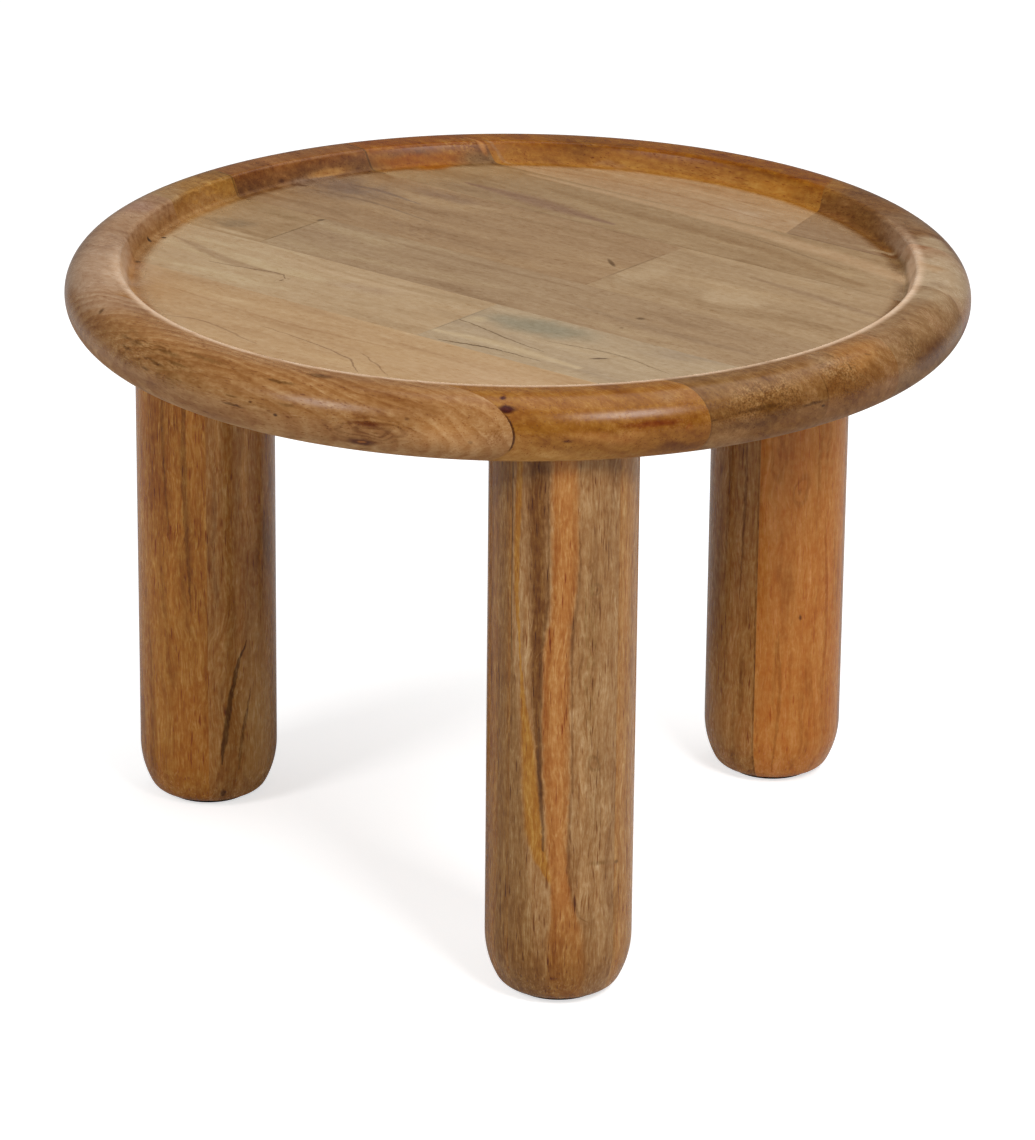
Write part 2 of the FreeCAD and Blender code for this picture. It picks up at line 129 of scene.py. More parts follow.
class Shader:
    """One material under construction."""

    def __init__(self, name: str) -> None:
        """Start an empty node tree.

        Args:
            name: The material's name.
        """
        self.material = bpy.data.materials.new(name)
        self.material.use_nodes = True
        self.take(self.material.node_tree)

    @classmethod
    def over(cls, tree: bpy.types.NodeTree) -> "Shader":
        """Start afresh on a tree that exists already, such as the world's.

        Args:
            tree: The tree, which is emptied.

        Returns:
            A shader without a material of its own.
        """
        shader = cls.__new__(cls)
        shader.take(tree)
        return shader

    def take(self, tree: bpy.types.NodeTree) -> None:
        """Empty a node tree and build on it from here on."""
        self.nodes, self.links = tree.nodes, tree.links
        self.nodes.clear()

    def node(self, kind: str, settings: dict | None = None, output: int | str | None = 0,
             **inputs: "Signal | float | tuple") -> "Signal | None":
        """Add one node.

        Args:
            kind: The node's type, without its usual prefix.
            settings: Its own settings. The entry "stops" holds a ramp's stops.
            output: The output that is handed back, or None where it has none.
            **inputs: Values or links of its sockets, by name with underscores for
                spaces, or by number after the letter i.

        Returns:
            The chosen output.
        """
        made = self.nodes.new("ShaderNode" + kind)
        for name, value in (settings or {}).items():
            if name == "stops":
                self.set_stops(made.color_ramp, value)
            else:
                setattr(made, name, value)
        for name, value in inputs.items():
            key = int(name[1:]) if name[1:].isdigit() else name.replace("_", " ")
            self.feed(made.inputs[key], value)
        return None if output is None else Signal(self, made.outputs[output])

    @staticmethod
    def set_stops(ramp: bpy.types.ColorRamp, stops: list[tuple[float, tuple]]) -> None:
        """Give a ramp its stops.

        Args:
            ramp: The ramp.
            stops: Positions and colours, in order.
        """
        ramp.interpolation = "CARDINAL"
        while len(ramp.elements) < len(stops):
            ramp.elements.new(1.0)
        for element, (position, colour) in zip(ramp.elements, stops):
            element.position = position
            element.color = colour

    def feed(self, socket: bpy.types.NodeSocket, value: "Signal | float | tuple") -> None:
        """Link a signal to a socket, or set the socket's own value."""
        if isinstance(value, Signal):
            self.links.new(value.socket, socket)
        else:
            socket.default_value = value

    def maths(self, operation: str, *values: "Signal | float") -> Signal:
        """Add a Math node for one or two values."""
        inputs = {"i%d" % i: value for i, value in enumerate(values)}
        return self.node("Math", {"operation": operation}, **inputs)

    def vector(self, operation: str, *values: "Signal | tuple | float") -> Signal:
        """Add a Vector Math node that gives a vector."""
        inputs = {"i%d" % i: value for i, value in enumerate(values)}
        return self.node("VectorMath", {"operation": operation}, **inputs)

    def scaled(self, vector: Signal, amount: "Signal | float") -> Signal:
        """Multiply a vector or a colour by one value."""
        return self.node("VectorMath", {"operation": "SCALE"}, i0=vector, Scale=amount)

    def length(self, vector: Signal) -> Signal:
        """Measure a vector."""
        return self.node("VectorMath", {"operation": "LENGTH"}, output="Value", i0=vector)

    def parts(self, kind: str, **inputs: Signal) -> list[Signal]:
        """Take a vector or a colour apart with one of the Separate nodes."""
        first = self.node(kind, **inputs)
        return [Signal(self, output) for output in first.socket.node.outputs[:3]]

    def ease(self, value: Signal, low: float, high: float) -> Signal:
        """Rise smoothly from 0 to 1, or fall where low is the larger.

        Args:
            value: What to ease.
            low: Where it gives 0.
            high: Where it gives 1.

        Returns:
            A value from 0 to 1.
        """
        start, end = (low, high) if low < high else (high, low)
        bounds = (0.0, 1.0) if low < high else (1.0, 0.0)
        return self.node("MapRange", {"interpolation_type": "SMOOTHSTEP"}, i0=value,
                         i1=start, i2=end, i3=bounds[0], i4=bounds[1])

    def mix(self, factor: "Signal | float", first: "Signal | tuple",
            second: "Signal | tuple") -> Signal:
        """Blend two colours, which the Mix node has at its inputs 6 and 7 and output 2."""
        return self.node("Mix", {"data_type": "RGBA"}, output=2, i0=factor, i6=first, i7=second)

    def noise(self, vector: Signal, detail: float = 2.0, roughness: float = 0.5,
              output: str = "Fac") -> Signal:
        """Add noise whose cells are as large as the unit of the given vector."""
        return self.node("TexNoise", output=output, Vector=vector, Scale=1.0, Detail=detail,
                         Roughness=roughness)

    def finish(self, **inputs: "Signal | float | tuple") -> bpy.types.Material:
        """Close the material with its surface shader.

        Args:
            **inputs: Values or links of the surface shader.

        Returns:
            The finished material.
        """
        self.node("OutputMaterial", output=None, Surface=self.node("BsdfPrincipled", **inputs))
        return self.material


class Wander(Enum):
    """How noise pushes the outline of a mark about: its cells and its reach, in millimetres."""

    STILL = (0.0, 0.0)
    FINE = (6.0, 2.4)
    SOFT = (28.0, 18.0)


@dataclass(frozen=True)
class Spot:
    """A knot, patch or fleck in the wood, or a patch of painted shade or painted highlight, as an
    ellipsoid about one place.

    Sizes are in millimetres along the grain, across it and through the board. A leg's are
    up the leg, round it and out from its axis. The edge is the share of the reach over which
    the spot fades, and the turn is in degrees. Rings are counted out to the edge, and flecks
    gives the cells of the flecks that it breaks into, along the grain and across it.
    """

    place: tuple[float, float, float]
    reach: tuple[float, float, float]
    colour: str
    strength: float = 0.8
    edge: float = 0.6
    turn: float = 0.0
    wander: Wander = Wander.SOFT
    rings: float = 0.0
    flecks: tuple[float, float] | None = None

    RING_EDGES = (-0.6, 0.9)
    FLECK_EDGES = (0.46, 0.62)

    def mask(self, wood: "WoodShader") -> Signal:
        """Work out where the spot shows, as rings or as flecks where it has them.

        Args:
            wood: The shader of the wood that it is in.

        Returns:
            A value from 0 to 1.
        """
        s = wood.shader
        own = s.node("Mapping", {"vector_type": "TEXTURE"}, Vector=wood.places[self.wander],
                     Location=self.place, Rotation=(0.0, 0.0, math.radians(self.turn)),
                     Scale=self.reach)
        far = s.length(own)
        mask = s.ease(far, 1.0, 1.0 - self.edge)
        if self.rings:
            wave = s.maths("COSINE", far * (FULL_TURN * self.rings))
            mask = mask * s.ease(wave, *self.RING_EDGES)
        if self.flecks:
            crowd = s.noise(wood.stretched(wood.board, *self.flecks))
            mask = mask * s.ease(crowd, *self.FLECK_EDGES)
        return mask * self.strength


@dataclass(frozen=True)
class Streak:
    """A streak or a crack that follows a path along the grain.

    Each point of the path gives a place along the grain, one across it, and half the
    streak's width, in millimetres. The edge is the share of that over which it fades.
    """

    path: tuple[tuple[float, float, float], ...]
    colour: str
    strength: float = 0.8
    edge: float = 0.6
    wander: Wander = Wander.FINE

    THINNEST = 0.001
    ENDS = (0.51, 0.49)

    def mask(self, wood: "WoodShader") -> Signal:
        """Work out where the streak shows.

        Args:
            wood: The shader of the wood that it is in.

        Returns:
            A value from 0 to 1.
        """
        s = wood.shader
        start, end = self.path[0][0], self.path[-1][0]
        low = min(point[1] for point in self.path)
        span = max(point[1] for point in self.path) - low or 1.0
        widest = max(point[2] for point in self.path)
        stops = [((a - start) / (end - start), ((c - low) / span, w / widest, 0.0, 1.0))
                 for a, c, w in self.path]
        along, across, _ = s.parts("SeparateXYZ", Vector=wood.places[self.wander])
        share = (along - start) / (end - start)
        ramp = s.node("ValToRGB", {"stops": stops}, Fac=share)
        middle, thickness, _ = s.parts("SeparateColor", Color=ramp)
        width = thickness * widest + self.THINNEST
        off = abs(across - (middle * span + low)) / width
        within = s.ease(abs(share - 0.5), *self.ENDS)
        return s.ease(off, 1.0, 1.0 - self.edge) * within * self.strength


@dataclass(frozen=True)
class Tone:
    """The colours of one stretch of wood, as they look on screen."""

    light: str
    mid: str
    dark: str

    DARK_TO_MID = (0.25, 0.5)
    MID_TO_LIGHT = (0.5, 0.78)

    def over(self, shader: Shader, share: Signal) -> Signal:
        """Blend from dark to light as a value rises from 0 to 1."""
        lower = shader.mix(shader.ease(share, *self.DARK_TO_MID), rgb(self.dark), rgb(self.mid))
        return shader.mix(shader.ease(share, *self.MID_TO_LIGHT), lower, rgb(self.light))


@dataclass(frozen=True)
class Wood:
    """The finish of one stave: its tones, its figure and its marks.

    The origin and the pith are places in the figure, in millimetres. Bands and ticks give
    the cells of the broad bands and of the pores, along the grain and across it.
    """

    rim: Tone
    # The tray's paler, greyer tones are partly the wood's own colour and partly a painted sheen,
    # the hazy reflection that the flat tray floor shows.
    tray: Tone | None = None
    wall: Tone | None = None
    on_top: bool = True
    origin: tuple[float, float, float] = (0.0, 0.0, 0.0)
    pith: tuple[float, float] = (20.0, -90.0)
    ring_gap: float = 7.0
    figure: float = 0.055
    fibre: float = 0.13
    bands: tuple[float, float] = (150.0, 22.0)
    pores: float = 0.35
    ticks: tuple[float, float] = (7.0, 0.75)
    mottle: float = 0.45
    marks: tuple[Spot | Streak, ...] = ()


class WoodShader:
    """Builds the material of one stave from its finish."""

    # Rings of the top, out from its middle in millimetres: where the tray's tones end, where
    # the wall's do, the wall that is rougher, and the lip that carries a painted highlight.
    # Their tones come in over the heights of TOP_SIDE, so the underside has none of them.
    TRAY_EDGE = (246.0, 254.0)
    WALL_TOP = (258.0, 264.0)
    ROUGH_WALL = (253.0, 256.0, 259.0, 264.0)
    LIP = (257.0, 260.0, 265.0, 271.0)
    TOP_SIDE = (388.0, 400.0)
    # The painted highlight on the lip, a pale reflection painted into the colour: its tone, how
    # much of it shows, the cells and edges of its breakup, and where it fades from the front of
    # the table to the back, in metres.
    LIP_TONE = "e3c2a2"
    LIP_STRENGTH = 0.95
    WEAR_CELL = 30.0
    WEAR_EDGES = (0.15, 0.5)
    LIP_FADE = (0.08, -0.10)
    # The layers of the figure: how long and how wide their cells are, in millimetres.
    DRIFT_CELLS, DRIFT_REACH = (170.0, 60.0), 26.0
    CURL_CELLS, CURL_REACH = (26.0, 18.0), 7.0
    STREAK_CELLS = (34.0, 3.4)
    FIBRE_CELLS = (13.0, 1.1)
    MOTTLE_CELLS = (5.5, 3.6)
    CROWD_CELLS = (60.0, 14.0)
    CLOUD_CELL = 16.0
    # How strongly the layers darken the wood, where its finish doesn't say so itself. The
    # figure of the top is quieter in the tray and livelier on the rim.
    STREAK_IN_TONE = 0.25
    STREAK_IN_FIBRE = 0.9
    CLOUD_DEPTH = 0.18
    END_GRAIN_DEPTH = 0.10
    LEVEL = 0.96
    TRAY_FIGURE, RIM_FIGURE = 0.82, 1.35
    # Growth rings darken slowly and end sharply, at these shares of a ring, and run on along
    # the grain, where places count for as little as RING_STRETCH.
    RING_RISE, RING_FALL = (0.1, 0.85), (1.0, 0.85)
    RING_STRETCH = 0.02
    # Pores: how much they crowd, and the edges of a pore. End grain: its edges.
    CROWDING = 0.22
    PORE_EDGES = (0.64, 0.74)
    END_GRAIN_EDGES = (0.55, 1.0)
    # The satin lacquer: its roughness and what adds to it, its relief and its index.
    ROUGHNESS = 0.26
    FIBRE_ROUGHNESS, BAND_ROUGHNESS, PORE_ROUGHNESS = 0.10, 0.06, 0.12
    WALL_ROUGHNESS, UNDER_ROUGHNESS = 0.3, 0.35
    UNDER_EDGES = (0.1, -0.5)
    RELIEF, RELIEF_DEPTH = 0.35, 0.06
    FIBRE_RELIEF, STREAK_RELIEF = 0.35, 0.25
    INDEX = 1.3

    def __init__(self, name: str, wood: Wood, grain: Matrix, middle: Vector,
                 round_leg: float = 0.0) -> None:
        """Set up the coordinates that the wood's figure is drawn in.

        Args:
            name: The material's name.
            wood: The stave's finish.
            grain: Rows along the grain, across it and through the board.
            middle: The point that the figure is measured from, in metres.
            round_leg: The leg's radius in millimetres where marks go round a leg, or 0.
        """
        self.shader = Shader(name)
        self.wood = wood
        s = self.shader
        self.object_place = s.node("TexCoord", output="Object")
        scale = 1.0 / MM
        shift = -(grain @ (middle * scale))
        self.board = s.node("Mapping", Vector=self.object_place,
                            Location=tuple(shift), Rotation=tuple(grain.to_euler("XYZ")),
                            Scale=(scale, scale, scale))
        surface = self.unrolled(round_leg) if round_leg else self.board
        self.places = {wander: self.wandered(surface, wander) for wander in Wander}

    def push(self, noise: Signal, reach: float) -> Signal:
        """Turn noise about one half into a push both ways."""
        centred = self.shader.vector("SUBTRACT", noise, (0.5, 0.5, 0.5))
        return self.shader.scaled(centred, reach)

    def wandered(self, surface: Signal, wander: Wander) -> Signal:
        """Push places on the surface about.

        Args:
            surface: The places.
            wander: How far the outline of a mark wanders.

        Returns:
            The places to draw such marks at.
        """
        cell, reach = wander.value
        if not reach:
            return surface
        s = self.shader
        noise = s.noise(s.scaled(surface, 1.0 / cell), output="Color")
        return s.vector("ADD", surface, self.push(noise, reach))

    def unrolled(self, radius: float) -> Signal:
        """Lay the round of a leg out flat.

        Args:
            radius: The leg's radius in millimetres.

        Returns:
            Places up the leg, round it and out from its axis, in millimetres.
        """
        s = self.shader
        up, across, depth = s.parts("SeparateXYZ", Vector=self.board)
        turn = s.maths("ARCTAN2", depth, across) * radius
        out = s.maths("SQRT", across * across + depth * depth)
        return s.node("CombineXYZ", X=up, Y=turn, Z=out)

    def stretched(self, place: Signal, along: float, across: float) -> Signal:
        """Stretch a pattern so that its cells are long with the grain."""
        return self.shader.vector("MULTIPLY", place, (1.0 / along, 1.0 / across, 1.0 / across))

    def build(self) -> bpy.types.Material:
        """Draw the wood: tone, growth rings, marks, fibre, pores and lacquer.

        Returns:
            The finished material.
        """
        s, wood = self.shader, self.wood
        moved = s.vector("ADD", self.board, wood.origin)
        drawn = s.vector("ADD", moved, s.vector("MULTIPLY", self.bend(moved), (0.0, 1.0, 1.0)))
        band = s.noise(self.stretched(drawn, *wood.bands), detail=3.0, roughness=0.55)
        streak = s.noise(self.stretched(drawn, *self.STREAK_CELLS), detail=4.0, roughness=0.6)
        cloud = s.noise(s.scaled(moved, 1.0 / self.CLOUD_CELL), detail=3.0, roughness=0.6)
        mottle = s.noise(self.stretched(moved, *self.MOTTLE_CELLS), detail=3.0, roughness=0.65)
        fibre = s.noise(self.stretched(drawn, *self.FIBRE_CELLS))
        pores = self.pores(moved)
        out = s.length(s.vector("MULTIPLY", self.object_place, (1.0, 1.0, 0.0))) / MM
        tone = self.tone(band + (streak - 0.5) * self.STREAK_IN_TONE, out, moved)
        depth = (streak - 0.5) * (-self.STREAK_IN_FIBRE * wood.fibre) \
            + (fibre - 0.5) * (-wood.fibre) + (0.5 - cloud) * self.CLOUD_DEPTH \
            + (0.5 - mottle) * wood.mottle + self.growth_rings(drawn) * wood.figure \
            + pores * wood.pores + self.end_grain() * self.END_GRAIN_DEPTH
        rough = (fibre - 0.5) * self.FIBRE_ROUGHNESS + (band - 0.5) * self.BAND_ROUGHNESS \
            + pores * self.PORE_ROUGHNESS + self.ROUGHNESS
        if wood.on_top:
            livelier = self.RIM_FIGURE - self.TRAY_FIGURE
            depth = depth * (s.ease(out, *self.TRAY_EDGE) * livelier + self.TRAY_FIGURE)
            facing = s.node("SeparateXYZ", output="Z", Vector=s.node("TexCoord", output="Normal"))
            rough = rough + self.between(out, self.ROUGH_WALL) * self.WALL_ROUGHNESS \
                + s.ease(facing, *self.UNDER_EDGES) * self.UNDER_ROUGHNESS
        relief = s.node("Bump", Strength=self.RELIEF, Distance=self.RELIEF_DEPTH * MM,
                        Height=fibre * self.FIBRE_RELIEF + streak * self.STREAK_RELIEF - pores)
        return s.finish(Base_Color=s.node("Gamma", Color=tone, Gamma=depth + self.LEVEL),
                        Roughness=rough, Normal=relief, IOR=self.INDEX)

    def bend(self, place: Signal) -> Signal:
        """Bend the grain: a long slow drift with a short curl on it.

        Args:
            place: Where to take the bend at.

        Returns:
            How far the grain is pushed aside there.
        """
        s = self.shader
        drift, curl = (self.push(s.noise(self.stretched(place, *cells), output="Color"), reach)
                       for cells, reach in ((self.DRIFT_CELLS, self.DRIFT_REACH),
                                            (self.CURL_CELLS, self.CURL_REACH)))
        return s.vector("ADD", drift, curl)

    def tone(self, share: Signal, out: Signal, place: Signal) -> Signal:
        """Colour the wood: its tones by zone, its marks and the painted highlight on the lip.

        Args:
            share: Where the tone lies between dark and light, from 0 to 1.
            out: How far out from the middle of the top, in millimetres.
            place: Where to take the breakup of the lip's painted highlight from.

        Returns:
            The colour.
        """
        s, wood = self.shader, self.wood
        height = s.node("SeparateXYZ", output="Z", Vector=self.object_place) / MM
        above = s.ease(height, *self.TOP_SIDE)
        tone = wood.rim.over(s, share)
        # The tray tones hold part of a painted sheen: the hazy reflection on the tray floor,
        # beside the wood's own paler colour.
        for zone, (full, none) in ((wood.wall, self.WALL_TOP), (wood.tray, self.TRAY_EDGE)):
            if zone:
                tone = s.mix(s.ease(out, none, full) * above, tone, zone.over(s, share))
        for mark in wood.marks:
            tone = s.mix(mark.mask(self), tone, rgb(mark.colour))
        # A painted highlight: a pale band painted along the lip of the recess, where light glances
        # off it.
        if wood.on_top:
            tone = s.mix(self.sanded_lip(out, place) * above, tone, rgb(self.LIP_TONE))
        return tone

    def between(self, out: Signal, ring: tuple[float, float, float, float]) -> Signal:
        """Rise over the first two distances of a ring and fall over the last two."""
        start, full, last, end = ring
        return self.shader.ease(out, start, full) * self.shader.ease(out, end, last)

    def sanded_lip(self, out: Signal, place: Signal) -> Signal:
        """Find the lip of the recess where a pale highlight is painted into the colour, most at
        the front.

        Args:
            out: How far out from the middle of the top, in millimetres.
            place: Where to take the breakup of the painted highlight from.

        Returns:
            A value from 0 to 1.
        """
        s = self.shader
        forward = s.node("SeparateXYZ", output="Y", Vector=self.object_place)
        highlight_breakup = s.ease(s.noise(s.scaled(place, 1.0 / self.WEAR_CELL)), *self.WEAR_EDGES)
        return self.between(out, self.LIP) * s.ease(forward, *self.LIP_FADE) * highlight_breakup \
            * self.LIP_STRENGTH

    def growth_rings(self, place: Signal) -> Signal:
        """Draw growth rings about the stave's pith, each darkening to its edge.

        Args:
            place: Where to draw them, in millimetres.

        Returns:
            A value from 0 to 1.
        """
        s, wood = self.shader, self.wood
        flat = s.vector("MULTIPLY", place, (self.RING_STRETCH, 1.0, 1.0))
        count = s.length(s.vector("SUBTRACT", flat, (0.0, *wood.pith))) / wood.ring_gap
        phase = s.maths("FRACT", count)
        return s.ease(phase, *self.RING_RISE) * s.ease(phase, *self.RING_FALL)

    def pores(self, place: Signal) -> Signal:
        """Draw the short dark pores that lie along the grain.

        Args:
            place: Where to draw them, in millimetres.

        Returns:
            A value from 0 to 1.
        """
        s = self.shader
        ticks = s.noise(self.stretched(place, *self.wood.ticks), detail=1.0)
        crowd = s.noise(self.stretched(place, *self.CROWD_CELLS))
        return s.ease(ticks + (crowd - 0.5) * self.CROWDING, *self.PORE_EDGES)

    def end_grain(self) -> Signal:
        """Find where the surface cuts the fibres across, which takes more finish.

        Returns:
            A value from 0 to 1.
        """
        s = self.shader
        normal = s.node("TexCoord", output="Normal")
        mapping = self.board.socket.node
        turned = s.node("VectorRotate", {"rotation_type": "EULER_XYZ"}, Vector=normal,
                        Rotation=tuple(mapping.inputs["Rotation"].default_value))
        along = s.node("SeparateXYZ", Vector=turned)
        return s.ease(abs(along), *self.END_GRAIN_EDGES)


@dataclass(frozen=True)
class Felt:
    """The finish of the foot pads: dense dark felt, with fibres and clumps per millimetre."""

    light: str = "3a322d"
    dark: str = "1d1917"
    fibres: float = 1.2
    clumps: float = 0.25
    clumping: float = 0.3
    tone_edges: tuple[float, float] = (0.35, 0.65)
    roughness: float = 0.95
    relief: float = 0.8
    relief_depth: float = 0.3

    def material(self) -> bpy.types.Material:
        """Build the felt, with matted fibres.

        Returns:
            The finished material.
        """
        s = Shader("dark_felt")
        place = s.scaled(s.node("TexCoord", output="Object"), 1.0 / MM)
        mat = s.noise(s.scaled(place, self.fibres), detail=5.0, roughness=0.75)
        clump = s.noise(s.scaled(place, self.clumps))
        share = mat * (1.0 - self.clumping) + clump * self.clumping
        colour = s.mix(s.ease(share, *self.tone_edges), rgb(self.dark), rgb(self.light))
        relief = s.node("Bump", Strength=self.relief, Distance=self.relief_depth * MM, Height=mat)
        return s.finish(Base_Color=colour, Roughness=self.roughness, Normal=relief)


@dataclass(frozen=True)
class Plate:
    """The finish of a plated steel fixing, with clouds and lathe lines per millimetre."""

    name: str
    light: str
    dark: str
    clouds: float = 0.2
    lathe_lines: tuple[float, float, float] = (0.05, 0.05, 6.0)
    tone_edges: tuple[float, float] = (0.3, 0.7)
    roughness: float = 0.22
    roughness_spread: float = 0.2
    relief: float = 0.3
    relief_depth: float = 0.03

    def material(self) -> bpy.types.Material:
        """Build the plating, a little uneven and with fine lathe lines.

        Returns:
            The finished material.
        """
        s = Shader(self.name)
        place = s.scaled(s.node("TexCoord", output="Object"), 1.0 / MM)
        cloud = s.noise(s.scaled(place, self.clouds), detail=3.0)
        lines = s.noise(s.vector("MULTIPLY", place, self.lathe_lines))
        colour = s.mix(s.ease(cloud, *self.tone_edges), rgb(self.dark), rgb(self.light))
        relief = s.node("Bump", Strength=self.relief, Distance=self.relief_depth * MM,
                        Height=lines)
        return s.finish(Base_Color=colour, Metallic=1.0, Normal=relief,
                        Roughness=lines * self.roughness_spread + self.roughness)


def arc(centre: tuple[float, float], radius: float, start: float, end: float,
        steps: int) -> list[tuple[float, float]]:
    """Walk round an arc in the plane of a turning's section.

    Args:
        centre: Its centre, out from the axis and up, in millimetres.
        radius: Its radius in millimetres.
        start: The angle of its first point, in degrees.
        end: The angle of its last point, in degrees.
        steps: How many chords stand for it.

    Returns:
        The points, both ends included.
    """
    angles = [math.radians(start + (end - start) * i / steps) for i in range(steps + 1)]
    return [(centre[0] + radius * math.cos(a), centre[1] + radius * math.sin(a))
            for a in angles]


def turn_solid(section: list[tuple[float, float]], steps: int) -> bmesh.types.BMesh:
    """Turn a section about the upright axis into a closed solid.

    Args:
        section: Points out from the axis and up, in millimetres, from axis to axis.
        steps: How many faces go round.

    Returns:
        The solid, in metres.
    """
    mesh = bmesh.new()
    points = [mesh.verts.new((r * MM, 0.0, z * MM)) for r, z in section]
    edges = [mesh.edges.new(pair) for pair in zip(points, points[1:])]
    bmesh.ops.spin(mesh, geom=points + edges, cent=(0.0, 0.0, 0.0), axis=UP, angle=FULL_TURN,
                   steps=steps, use_merge=True)
    bmesh.ops.remove_doubles(mesh, verts=mesh.verts, dist=SAME_POINT)
    bmesh.ops.dissolve_degenerate(mesh, edges=mesh.edges, dist=NO_EDGE)
    bmesh.ops.recalc_face_normals(mesh, faces=mesh.faces)
    return mesh


def saw(mesh: bmesh.types.BMesh, point: Vector, outward: Vector) -> None:
    """Saw a solid along a plane, drop what is on the outward side and close the cut.

    Args:
        mesh: The solid, changed in place.
        point: A point of the plane, in metres.
        outward: The direction of the side that goes.
    """
    geometry = mesh.verts[:] + mesh.edges[:] + mesh.faces[:]
    cut = bmesh.ops.bisect_plane(mesh, geom=geometry, dist=ON_CUT, plane_co=point,
                                 plane_no=outward, clear_outer=True)
    edges = [item for item in cut["geom_cut"] if isinstance(item, bmesh.types.BMEdge)]
    bmesh.ops.holes_fill(mesh, edges=edges, sides=0)


def stand_in(name: str, mesh: bmesh.types.BMesh, node: str,
             material: bpy.types.Material, sharp: float = 35.0) -> bpy.types.Object:
    """Make a finished piece of a bmesh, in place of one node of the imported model.

    Args:
        name: The piece's name.
        mesh: Its shape, which is used up.
        node: The node that it stands for.
        material: Its material.
        sharp: The angle in degrees over which an edge stays crisp.

    Returns:
        The piece.
    """
    bmesh.ops.recalc_face_normals(mesh, faces=mesh.faces)
    data = bpy.data.meshes.new(name)
    mesh.to_mesh(data)
    mesh.free()
    data.shade_smooth()
    data.set_sharp_from_angle(angle=math.radians(sharp))
    data.materials.append(material)
    piece = bpy.data.objects.new(name, data)
    bpy.context.scene.collection.objects.link(piece)
    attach(piece, ROOT)
    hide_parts(node)
    LOG.info("%s stands for %s: %d faces", name, node, len(data.polygons))
    return piece


def bored(mesh: bmesh.types.BMesh, places: list[Vector], radius: float,
          depth: float) -> bmesh.types.BMesh:
    """Bore blind round holes up into a solid.

    Args:
        mesh: The solid, which is used up.
        places: The middle of each hole's mouth, in metres.
        radius: The radius of the holes in metres.
        depth: How deep they go, in metres.

    Returns:
        The bored solid.
    """
    drill = bmesh.new()
    for place in places:
        centre = Matrix.Translation(place + UP * (depth / 2.0))
        bmesh.ops.create_cone(drill, cap_ends=True, segments=DRILL_SIDES, radius1=radius,
                              radius2=radius, depth=depth, matrix=centre)
    parts = []
    for name, source in (("blank", mesh), ("drill", drill)):
        data = bpy.data.meshes.new(name)
        source.to_mesh(data)
        source.free()
        parts.append(bpy.data.objects.new(name, data))
        bpy.context.scene.collection.objects.link(parts[-1])
    cut = parts[0].modifiers.new("bores", "BOOLEAN")
    cut.operation = "DIFFERENCE"
    cut.solver = "EXACT"
    cut.object = parts[1]
    view = bpy.context.evaluated_depsgraph_get()
    data = bpy.data.meshes.new_from_object(parts[0].evaluated_get(view))
    made = bmesh.new()
    made.from_mesh(data)
    for part in parts:
        bpy.data.objects.remove(part)
    bpy.data.meshes.remove(data)
    return made


@dataclass(frozen=True)
class Stave:
    """One stave of the top: its row, its end of the row, and its finish."""

    row: int
    end: str
    wood: Wood

    @property
    def label(self) -> str:
        """The stave's row and end, as its node is named."""
        return "%d_%s" % (self.row, self.end) if self.end else str(self.row)


